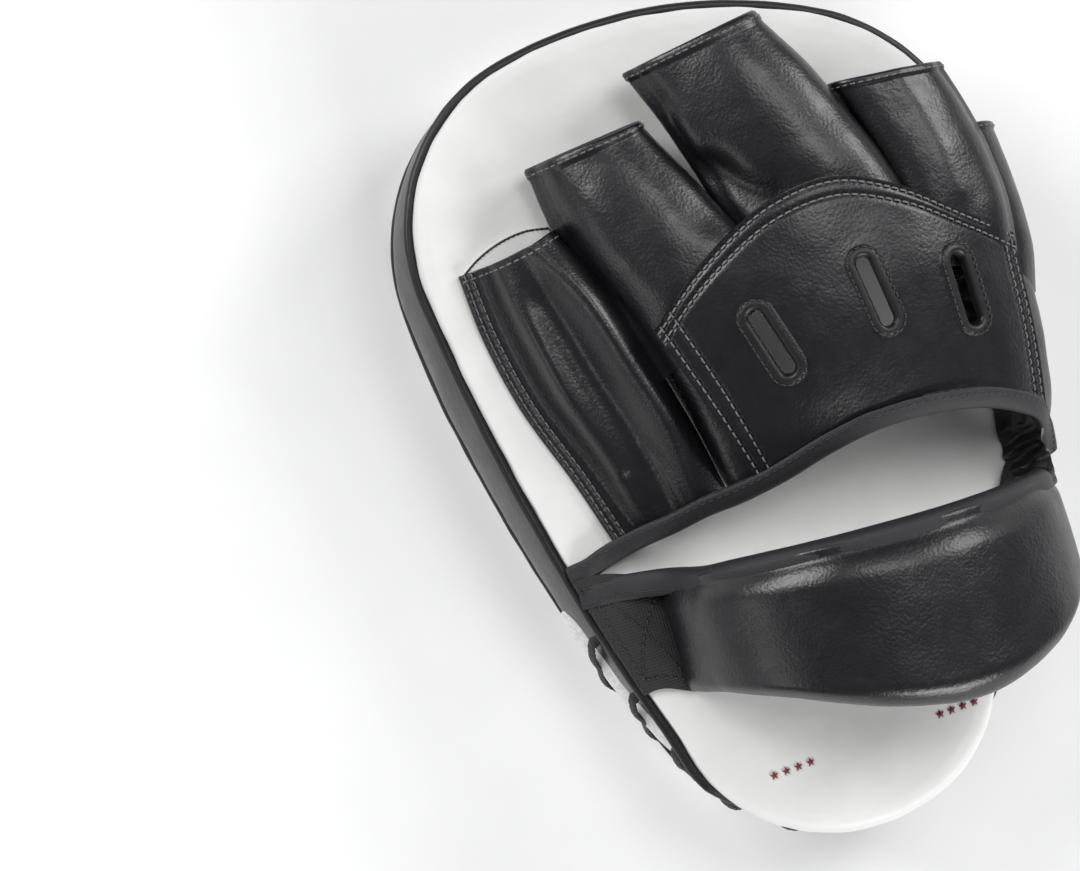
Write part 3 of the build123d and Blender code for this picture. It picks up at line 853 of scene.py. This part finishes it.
def finger(name, node, stations, lip, seed, folds=()):
    """Open-ended finger sleeve with a lip at either side, creases along lines and sewing round its mouth."""
    grid = sleeve_grid(stations, lip)
    middle = grid.mean(axis=1, keepdims=True)
    facing = outward_normals(grid)
    grid = crumple(grid, facing, 18.0, 0.6, seed)
    for points, height, width in folds:
        grid = fold(grid, facing, line(points, 1.0), height, width)
    sew = 3
    grid = turned_rim(grid, facing, sew + 2)
    path = np.vstack([grid[sew], grid[sew, :1]])
    ways = np.vstack([facing[sew], facing[sew, :1]])
    made = sheet_object(name, grid, grid - middle, BLACK, 1.5, wrap=True)
    dress(made, instead_of=(node,))
    sewn = stitches(name + "_stitching", [(path, ways)], PAINTED_GLINT_THREAD, pitch=2.5, length=1.9, radius=0.22)
    dress(sewn)


finger(
    "index_leather",
    "index_sleeve",
    (
        ((-45, 91, 63), (-14, 94.5, 73), (10.5, 9)),
        ((-43, 74, 62), (-8, 82, 74), (13, 9)),
        ((-38, 56, 65), (0, 66, 76), (13.5, 9)),
        ((-30, 33, 70), (8, 46, 80), (11, 8)),
        ((-26, 20, 70), (10, 34, 80), (9, 8)),
    ),
    (4.0, 0.0),
    21.0,
    (
        (((-24, 96, 80), (-14, 80, 84), (-6, 62, 88)), -0.9, 6.0),
        (((-38, 84, 70), (-30, 62, 76), (-20, 42, 82)), 0.8, 7.0),
    ),
)
finger(
    "middle_leather",
    "middle_sleeve",
    (
        ((-10, 110, 69), (27, 116, 79), (9.5, 10)),
        ((-5, 96, 70), (37, 99, 80), (12, 10)),
        ((1, 76, 72), (47, 77, 81), (13, 10)),
        ((8, 50, 76), (55, 52, 83), (11, 9)),
        ((12, 36, 76), (58, 38, 83), (9, 9)),
    ),
    (3.5, 0.0),
    33.0,
    (
        (((2, 74, 80), (7, 66, 84), (14, 60, 88)), -3.0, 6.0),
        (((-2, 90, 76), (0, 76, 78), (3, 64, 80)), 1.4, 5.0),
        (((14, 104, 84), (24, 84, 90), (32, 66, 93)), 0.8, 9.0),
    ),
)
finger(
    "ring_leather",
    "ring_sleeve",
    (
        ((44, 89, 76), (76, 86.5, 73), (9, 10)),
        ((48, 74, 76), (81, 72, 71), (11, 10)),
        ((51, 60, 77), (84, 56, 70), (12, 10)),
        ((54, 40, 79), (84, 34, 72), (10, 9)),
        ((54, 28, 79), (82, 22, 72), (8, 9)),
    ),
    (0.0, 2.5),
    45.0,
    ((((62, 88, 84), (68, 66, 88), (70, 48, 88)), 0.8, 4.0),),
)
finger(
    "little_leather",
    "little_sleeve",
    (
        ((78, 66, 70), (90, 64.5, 58), (5.5, 6)),
        ((79, 52, 70), (91, 51, 58), (6, 6)),
        ((80, 38, 71), (91, 36, 58), (6, 6)),
        ((80, 24, 71), (90, 22, 59), (5, 6)),
        ((79, 14, 71), (88, 12, 59), (4, 5)),
    ),
    (0.0, 1.5),
    57.0,
)

# ---------------------------------------------------------------- thumb tunnel and sides

thumb_net = [
    [(-76, 66, 54.6), (-71, 66.3, 54.9), (-65.5, 66.6, 63.5), (-59.5, 67.5, 68)]
    + [(-53, 69, 71), (-48.5, 70.5, 69), (-46, 71, 60)],
    [(-74.5, 46, 54.4), (-69, 46.6, 54.8), (-62, 47.5, 66.5), (-54, 48.5, 67.5)]
    + [(-44, 49.5, 76), (-38, 50, 71), (-35, 50.5, 58)],
    [(-69.5, 22, 54.4), (-64, 22.8, 54.8), (-57, 23.8, 67), (-48, 25, 66.5)]
    + [(-37, 26, 76.5), (-31, 27, 71), (-28, 27.5, 58)],
    [(-61, -2, 54.4), (-55.5, -0.8, 54.8), (-49, 0.8, 64), (-41, 2.5, 66)]
    + [(-31, 4.5, 75), (-26, 5.5, 71), (-23, 6, 62)],
    [(-54.5, -23, 54.4), (-49, -21.8, 54.9), (-43.5, -21.5, 59.5), (-37, -20.5, 63)]
    + [(-28.5, -19.5, 69), (-23, -18.8, 70), (-19.5, -18.3, 70)],
]
thumb_grid = net_surface(thumb_net, 170, 90)
thumb_up = upward(thumb_grid)
thumb_grid = crumple(thumb_grid, thumb_up, 26.0, 0.25, 71.0)
for crease, depth, width in (
    (((-57, 50, 66), (-52, 30, 66), (-47, 12, 66), (-41, -4, 66), (-36, -18, 64)), -0.9, 5.5),
    (((-40, 2, 68), (-36, -8, 68), (-33, -18, 66)), 0.8, 2.0),
    (((-46, -6, 62), (-43, -14, 61), (-41, -20, 60)), -0.7, 2.0),
):
    thumb_grid = fold(thumb_grid, thumb_up, line(crease, 1.0), depth, width)
thumb_seams = []
for distance in (2.0, 4.8):
    path = inset_path(thumb_grid, "left", distance)
    thumb_grid = fold(thumb_grid, thumb_up, path, -0.35, 0.8)
    thumb_seams.append((path, nearest_up(thumb_grid, thumb_up, path)))
rim_seam = inset_path(thumb_grid, "front", 2.2)
thumb_seams.append((rim_seam, nearest_up(thumb_grid, thumb_up, rim_seam)))
panel("thumb_leather", thumb_grid, "thumb_sleeve", 1.6)
dress(stitches("thumb_stitching", thumb_seams, PAINTED_GLINT_THREAD, radius=0.26))

side_net = [
    [(-44, 72, 54), (-41, 71, 58), (-38, 66, 62), (-32, 60, 67)],
    [(-34, 50, 54), (-33, 49, 60), (-31.5, 46, 68), (-22, 43, 77)],
    [(-27, 27, 56), (-27, 27, 62), (-27.5, 26, 72), (-18, 24, 79.5)],
    [(-22.5, 6, 60), (-22.8, 6, 64), (-22, 5.5, 72), (-12, 5, 79.5)],
    [(-19, -18, 68), (-18.5, -18.5, 70), (-16, -19, 73), (-6, -19, 76.5)],
]
side_grid = net_surface(side_net, 110, 40)
side_grid = crumple(side_grid, upward(side_grid), 16.0, 0.5, 81.0)
panel("index_side_leather", side_grid, "index_side_panel", 1.5, up=(-1, 0, 0.3))

wall_net = [
    [(80, 34, 75), (87, 33, 68), (88, 32, 58), (87, 31, 50)],
    [(81, 12, 75), (87.5, 12, 67), (88, 11, 58), (86.5, 10, 50)],
    [(80, -6, 73.5), (86, -7, 66), (87, -8, 58), (85.5, -9, 50)],
    [(78.5, -20, 72), (82.5, -22, 65), (83, -25, 58), (82, -28, 50)],
    [(77, -25, 69), (78, -30, 63), (78.5, -35, 56), (78.5, -39, 50)],
]
wall_grid = net_surface(wall_net, 120, 50)
wall_grid = crumple(wall_grid, upward(wall_grid), 14.0, 0.7, 91.0)
panel("side_wall_leather", wall_grid, "glove_side_wall", 1.6, up=(1, 0, 0.3))


def lining_grid(grid, depth, size, height, seed):
    """Loose cloth inside a leather panel, rucked up."""
    facing = upward(grid)
    rucks = noise_at(grid * np.array([0.35, 1.0, 0.6]), size, seed) * height
    return grid - facing * (depth + np.abs(rucks))[..., None]


knuckle_lining = lining_grid(net_surface(knuckle_net, 80, 100), 2.6, 7.0, 1.2, 5.0)
inner = sheet_object("knuckle_lining", knuckle_lining, np.array((0, 0, 1.0)), LINING, 0.8)
cut_vents(inner, 0.4)
dress(inner, instead_of=("glove_lining",))
wall_lining_net = [
    [(80, 36, 74), (79, 36, 65), (74, 36, 57), (69.5, 36, 52.6)],
    [(80, 12, 74), (78.5, 12, 64), (73, 12, 56.5), (69, 12, 52.6)],
    [(79, -8, 73), (77.5, -9, 63.5), (72.5, -10, 56), (68.5, -11, 52.6)],
    [(77.5, -23, 70), (76.5, -24, 62), (72, -25, 55.5), (68, -26, 52.6)],
    [(80.5, -42, 56), (77, -44, 55), (72, -45, 53.6), (67.5, -46, 52.6)],
]
wall_lining = net_surface(wall_lining_net, 140, 50)
rucks = (0.5 - np.abs(noise_at(wall_lining * np.array([0.4, 1.0, 0.5]), 5.0, 17.0))) * 3.4
wall_lining = wall_lining + upward(wall_lining) * rucks[..., None]
wall_lining[..., 2] = np.maximum(wall_lining[..., 2], 52.4)
dress(sheet_object("side_wall_lining", wall_lining, np.array((-1.0, 0, 0.5)), LINING, 0.8))


def thumb_underlay():
    """White layer under the thumb tunnel, with its overcast edge beyond the tunnel's rim."""
    places = ((-75.5, 66, 53), (-69, 70.2, 53.6), (-61, 73.2, 54), (-53, 74.2, 54.2), (-46, 73.2, 54))
    edge = line(places, 0.6)
    rows = []
    for share in np.linspace(0, 1, 30):
        rows.append(edge + np.array((4, -22, -0.3)) * share)
    grid = np.stack(rows)
    made = sheet_object("thumb_underlay_leather", grid, np.array((0, 0, 1.0)), WHITE, 1.0)
    dress(made, instead_of=("thumb_underlay",))
    path = grid[1] + np.array((0, -0.2, 0.0))
    sewn = stitches("underlay_stitching", [(path, np.array((0, 0, 1.0)))], BLACK_THREAD, 1.5, 1.4, 0.32, 0.1)
    dress(sewn)


thumb_underlay()

# ---------------------------------------------------------------- binding tapes


def bound_edge(name, path, inward, up, width, body, node, depth):
    """Tape folded over an edge: lies width back over both sides, depth off the edge's middle, and is sewn."""
    tangent = unit(np.gradient(path, axis=0))
    side = unit(inward - tangent * (inward * tangent).sum(1, keepdims=True))
    top = up - tangent * (up * tangent).sum(1, keepdims=True)
    top = unit(top - side * (up * side).sum(1, keepdims=True))
    profile = [(width + 0.4, 0.75), (width - 0.2, 1.0), (width * 0.6, 1.12), (1.0, 1.0), (-0.6, 0.55)]
    profile += [(-1.0, 0.0), (-0.6, -0.55), (1.0, -1.0), (width * 0.6, -1.1), (width, -0.9)]
    depth = np.broadcast_to(np.asarray(depth, float), (len(path),))
    run = lengths(np.array(profile, float) * (1, depth.mean()))
    profile = smooth(run, profile, np.linspace(0, run[-1], 26))
    uneven = 1 + 0.05 * noise_at(path, 9.0, 4.0)
    grid = path[:, None] + side[:, None] * (profile[None, :, :1] * uneven[:, None, None])
    grid = grid + top[:, None] * (profile[None, :, 1:] * depth[:, None, None])
    made = sheet_object(name, grid, grid - (path + side * width * 0.5)[:, None], TAPE, 0.5)
    row = path + side * (width - 1.4) + top * (1.05 * depth)[:, None]
    sewing = stitches(name + "_stitching", [(row, top)], BLACK_THREAD, 2.6, 1.9, 0.28)
    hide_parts(node)
    for piece in (made, sewing):
        if body == "wrist_pad":
            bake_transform(piece)
        else:
            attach(piece, body)


def hem_tape():
    """Tape along the hem, from the rim at the thumb's side over the hand to the little finger's side."""
    over_thumb = [(-69, -31.8, 50.8), (-65, -30.9, 53.6), (-57, -28.4, 54.6), (-47, -26, 60)]
    over_thumb += [(-37, -24.5, 65.5)]
    over_hand = [(-27, -22.5, 70.5), (-17, -21.5, 74.5), (-4, -19, 79.5), (10, -15, 85), (23, -12.5, 88.5)]
    over_hand += [(35, -12, 90), (47, -13, 90), (59, -15.5, 86.5), (69, -19.5, 80), (76.5, -24, 72)]
    hem = line(over_thumb + over_hand + [(78.5, -29.5, 63), (78.5, -36, 54)], 0.9)
    share = np.linspace(0, 1, len(hem))
    inward_keys = ((0.15, 1, 0), (0, 1, 0.3), (0, 1, 0.25), (0, 1, 0.4), (0.3, 1, 0.3), (0.9, 0.6, 0.2))
    inward = smooth((0, 0.15, 0.5, 0.8, 0.92, 1), inward_keys, share)
    up_keys = [(-0.1, 0, 1), (-0.45, -0.3, 1), (-0.45, -0.2, 1), (0, -0.25, 1), (0.35, -0.3, 1)]
    up = smooth((0, 0.15, 0.3, 0.5, 0.75, 0.9, 1), up_keys + [(1, -0.2, 0.6), (1, -0.3, 0.2)], share)
    bound_edge("hem_tape", hem, inward, up, 5.2, "mitt", "hem_binding", 1.5)


hem_tape()

# ---------------------------------------------------------------- wrist cuff

cuff_low, cuff_high = (np.array(corner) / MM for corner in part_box("wrist_pad_cover"))
cuff_radius = (cuff_high - cuff_low)[0] / 2
cuff_middle_x = (cuff_high + cuff_low)[0] / 2
cuff_axis_z = cuff_high[2] - cuff_radius
cuff_foot_z = cuff_low[2]


def cuff_edges(turn):
    """Front and rear edge of the cuff along Y, by the angle round the arch in degrees."""
    front = smooth((-8, 20, 60, 100, 140, 188), (-39.5, -40.5, -41, -40, -38.5, -38.5), turn)[:, 0]
    keys = (-8, 0, 20, 29, 38, 50, 64, 78, 98, 111, 131, 150, 180, 188)
    rear = (-59, -63, -75, -82, -87.5, -92, -95, -95.5, -92, -88, -81, -76, -71.5, -70.5)
    return front, smooth(keys, rear, turn)[:, 0]


def arch_point(turn, radius, y):
    """Points round the cuff's axis, by angle in degrees."""
    a = np.radians(turn)
    x = cuff_middle_x + radius * np.cos(a)
    z = cuff_axis_z + radius * np.sin(a)
    return np.stack([x, np.broadcast_to(y, x.shape), z], -1)


def cuff_reach(turn):
    """Outer radius of the cuff, which bellies out over the little finger's side."""
    return cuff_radius + 5.0 * np.exp(-(((turn - 20.0) / 24.0) ** 2))


def cuff_middle(turn):
    """Radius of the cuff's middle layer, which runs out to the webbing at both feet."""
    ends = np.clip(np.minimum(turn + 4, 184 - turn) / 30.0, 0, 1)
    return cuff_reach(turn) - 1.2 - 6.3 * ends


cuff_loop = np.linspace(0, 2 * np.pi, 64, endpoint=False)
cuff_share = (1 - np.cos(cuff_loop)) / 2
little_foot_drop = (3.0, 2.4, 1.6, 0.7)


def cuff_form():
    """Padded cuff before it is stuffed: closed rings from the little finger's foot round to the thumb's."""
    foot = np.degrees(np.arcsin((cuff_foot_z + 0.2 - cuff_axis_z) / cuff_radius))
    turns = np.linspace(foot, 180 - foot, 96)
    front, rear = cuff_edges(turns)
    share, side = cuff_share, np.sign(np.sin(cuff_loop))
    body = 3.6 + 3.2 * np.clip((share - 0.10) / 0.12, 0, 1) ** 0.5
    body = body * np.clip(share / 0.015, 0, 1) ** 0.5 * np.clip((1 - share) / 0.10, 0, 1) ** 0.5
    ends = np.clip(np.minimum(turns - turns[0], turns[-1] - turns) / 26.0, 0, 1) ** 0.6
    rows = []
    for k, turn in enumerate(turns):
        half = 0.7 + body * (0.1 + 0.9 * ends[k])
        y = front[k] + (rear[k] - front[k]) * share
        middle = cuff_middle(turn)
        rows.append(arch_point(np.full(len(share), turn), middle + side * half, y))
    grid = np.stack(rows)
    grid[: len(little_foot_drop), :, 2] -= np.array(little_foot_drop)[:, None]
    return grid


def simulate(made, held, pressure, cap, frames):
    """Places of a closed piece's points when air pressure stuffs it as cloth, none moved past the cap."""
    start = np.array([v.co for v in made.data.vertices])
    group = made.vertex_groups.new(name="held")
    for index, weight in enumerate(held):
        if weight > 0.01:
            group.add([index], float(weight), "REPLACE")
    cloth = made.modifiers.new("stuffing", "CLOTH")
    stuffing = {"quality": 6, "mass": 0.4, "tension_stiffness": 25, "compression_stiffness": 12}
    stuffing |= {"shear_stiffness": 8, "bending_stiffness": 1.2, "use_pressure": True}
    stuffing |= {"uniform_pressure_force": pressure, "vertex_group_mass": "held"}
    for key, value in stuffing.items():
        setattr(cloth.settings, key, value)
    cloth.settings.effector_weights.gravity = 0
    cloth.collision_settings.use_collision = False
    cloth.point_cache.frame_start = 1
    cloth.point_cache.frame_end = frames
    scene = bpy.context.scene
    for number in range(1, frames + 1):
        scene.frame_set(number)
    graph = bpy.context.evaluated_depsgraph_get()
    moved = np.array([v.co for v in made.evaluated_get(graph).data.vertices])
    made.modifiers.remove(cloth)
    made.vertex_groups.remove(group)
    scene.frame_set(1)
    shift = moved - start
    size = np.linalg.norm(shift, axis=1, keepdims=True)
    return start + shift * np.minimum(1, cap * MM / np.maximum(size, 1e-9))


def cuff():
    """Padded cuff, held at its front edge and feet while it is stuffed; returns its bend at the joint."""
    grid = cuff_form()
    rings, around = grid.shape[:2]
    faces = grid_faces(rings, around, wrap_across=True)
    faces += [cap[::-1] for cap in end_caps(rings, around)]
    made = mesh_object("cuff_leather", grid, faces, BLACK)
    held = np.clip(1 - cuff_share / 0.07, 0, 1)[None] * np.ones((rings, 1))
    for k in range(3):
        held[k] = held[-1 - k] = 1
    settled = simulate(made, held.ravel(), 5.0, 7.0, 22)
    for vertex, place in zip(made.data.vertices, settled):
        vertex.co = place
    grid = np.array([v.co for v in made.data.vertices]).reshape(rings, around, 3) / MM
    grid = crumple(grid, outward_normals(grid), 24.0, 0.7, 101.0)
    for vertex, place in zip(made.data.vertices, grid.reshape(-1, 3)):
        vertex.co = place * MM
    modify(made, "smooth", "SUBSURF", levels=1, render_levels=1)
    made.data.update()
    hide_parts("wrist_pad_cover", "wrist_pad_lining", "wrist_pad_foam")
    bend = {"start": (0, 0, cuff_foot_z * MM), "end": (0, 0, (cuff_foot_z + 16) * MM)}
    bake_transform(made)
    return bend


cuff_bend = cuff()


def cuff_tape():
    """Tape along the cuff's front edge, which runs on over the pad to the rim at the thumb's side."""
    turns = np.linspace(8, 152, 13)
    arch = arch_point(turns, cuff_middle(turns), cuff_edges(turns)[0] + 0.6)
    arch_up = arch_point(turns, 1.0, 0.0) - arch_point(turns, 0.0, 0.0)
    thumb = [(-44, -35.4, 60.5), (-51, -34.4, 56.5), (-58, -33.6, 54.8), (-64, -33.2, 54), (-68, -33, 51)]
    thumb_up = [(-0.7, 0, 0.7), (-0.3, 0, 1), (-0.1, 0, 1), (-0.2, 0, 1), (-0.6, 0, 0.8)]
    points = np.vstack([[(79.0, -38.5, 53.5)], arch, thumb])
    up = np.vstack([[(1, 0, 0.1)], arch_up, thumb_up])
    depth = np.concatenate([[1.6, 3.0], np.full(len(turns) - 1, 4.0), [2.0, 1.3, 1.1, 1.1, 1.0]])
    path = line(points, 0.9)
    keys = lengths(points) / lengths(points)[-1]
    share = lengths(path) / lengths(path)[-1]
    inward = np.broadcast_to(np.array((0, -1.0, 0)), path.shape)
    up, depth = smooth(keys, up, share), smooth(keys, depth, share)[:, 0]
    bound_edge("cuff_tape", path, inward, up, 6.4, "wrist_pad", "wrist_pad_binding", depth)


cuff_tape()

# ---------------------------------------------------------------- webbing tabs


def tab(name, node, outer, inner, first):
    """Webbing patch under a foot of the cuff, from the back seam over the rolled edge onto the face."""
    start, end = (int(np.argmin(((rim - place) ** 2).sum(1))) for place in outer)
    shares = np.linspace(0, 1, 60)
    places = np.linspace(start, end, len(shares)).round().astype(int)
    grid = []
    for place, share in zip(places, shares):
        last = np.append(np.array(inner[0]) * (1 - share) + np.array(inner[1]) * share, face_z)
        path = np.vstack([back_grid[first:16, place], last])
        grid.append(smooth(lengths(path) / lengths(path)[-1], path, np.linspace(0, 1, 44)))
    grid = np.array(grid)
    grid = grid + upward(grid) * (1.7 + noise_at(grid, 9.0, 2.0) * 0.2)[..., None]
    made = sheet_object(name, grid, np.array((0, 0, 1.0)), WEBBING, 1.5)
    dress(made, instead_of=(node,))
    box = [(0.1, 0.12), (0.1, 0.88), (0.9, 0.88), (0.9, 0.12), (0.1, 0.12)]
    rows = []
    for a, b in list(zip(box[:-1], box[1:])) + [(box[0], box[2]), (box[1], box[3])]:
        share = np.linspace(0, 1, 30)
        path = on_grid(grid, a[0] + (b[0] - a[0]) * share, a[1] + (b[1] - a[1]) * share)
        rows.append((path + np.array((0, 0, 0.05)), np.array((0, 0, 1.0))))
    dress(stitches(name + "_stitching", rows, BLACK_THREAD, 2.4, 1.8, 0.3))


thumb_corners = ((-77.5, -33.5), (-63.5, -71.5)), ((-42, -37.5), (-43, -73))
little_corners = ((84, -40), (80, -64)), ((62, -43), (61, -67))
tab("thumb_side_webbing", "tab_thumb_side", *thumb_corners, first=11)
tab("little_side_webbing", "tab_little_side", *little_corners, first=4)

# ---------------------------------------------------------------- printed stars


def stars():
    """Two short rows of small printed stars on the face near the wrist."""
    size, waist, corners = 1.35, 0.42, 10
    points, faces = [], []
    row_start, row_end = np.array((-28.0, -104.0)), np.array((37.0, -101.0))
    heading = unit(row_end - row_start)
    across = np.array((-heading[1], heading[0]))
    run = np.linalg.norm(row_end - row_start)
    for distance in [3.9 * i for i in range(4)] + [run - 3.7 * i for i in range(4)]:
        centre = row_start + heading * distance
        start = len(points)
        points.append((*centre, print_z))
        for k in range(corners):
            a = np.pi / 2 + k * 2 * np.pi / corners
            reach = size if k % 2 == 0 else size * waist
            place = centre + heading * (reach * np.cos(a)) + across * (reach * np.sin(a))
            points.append((*place, print_z))
        faces += [(start, start + 1 + k, start + 1 + (k + 1) % corners) for k in range(corners)]
    made = mesh_object("printed_stars", np.array(points), faces, RED_PRINT)
    modify(made, "thickness", "SOLIDIFY", thickness=0.5 * MM, offset=-1)
    dress(made)


stars()

# ---------------------------------------------------------------- what the frame still shows

for name in ("strike_foam", "core_foam"):
    nodes[name].data.materials.clear()
    nodes[name].data.materials.append(FOAM)
nodes["lace_knots"].data.materials.clear()
nodes["lace_knots"].data.materials.append(LACE)

# ---------------------------------------------------------------- studio


def floor():
    half, count = 3.0, 60
    side = np.linspace(-half, half, count) / MM
    x, y = np.meshgrid(side, side, indexing="ij")
    grid = np.stack([x, y, np.zeros_like(x)], -1)
    made = mesh_object("studio_floor", grid[::-1], grid_faces(count, count), FLOOR)


def softbox(name, place, size, power):
    """Area light aimed at the middle of the mitt."""
    light = bpy.data.lights.new(name, "AREA")
    light.shape = "RECTANGLE"
    light.size, light.size_y = size
    light.energy = power
    made = bpy.data.objects.new(name, light)
    made.location = place
    made.rotation_euler = (Vector((0, 0, 0.05)) - Vector(place)).to_track_quat("-Z", "Y").to_euler()
    bpy.context.scene.collection.objects.link(made)


def camera():
    """Looks down on the pad, tilted a little towards the thumb and turned so that the fingers lean right."""
    place = Vector((-0.2671, 0.0244, 1.4261))
    aim = Vector((-0.0661, 0.0138, 0.0520))
    heading = np.radians(16.98)
    forward = (aim - place).normalized()
    right = forward.cross(Vector((np.sin(heading), np.cos(heading), 0))).normalized()
    up = right.cross(forward)
    data = bpy.data.cameras.new("camera")
    data.sensor_width = 36
    data.lens = 155.3
    made = bpy.data.objects.new("camera", data)
    made.matrix_world = Matrix.Translation(place) @ Matrix((right, up, -forward)).transposed().to_4x4()
    bpy.context.scene.collection.objects.link(made)
    bpy.context.scene.camera = made


floor()
camera()
softbox("key", (-0.95, 0.9, 0.95), (0.85, 0.6), 16)
softbox("wrist_side", (0.35, -1.4, 0.75), (1.2, 0.6), 21)
softbox("little_side", (1.15, 0.5, 0.9), (0.6, 0.6), 10)
softbox("overhead", (0.35, 0.55, 1.8), (0.8, 0.6), 8)
softbox("thumb_side", (-1.5, -0.3, 0.6), (0.7, 0.4), 2)
world = bpy.data.worlds.new("world")
world.use_nodes = True
world.node_tree.nodes["Background"].inputs["Color"].default_value = (0.95, 0.97, 1.0, 1)
world.node_tree.nodes["Background"].inputs["Strength"].default_value = 0.15
bpy.context.scene.world = world
bpy.context.scene.view_settings.view_transform = "Standard"
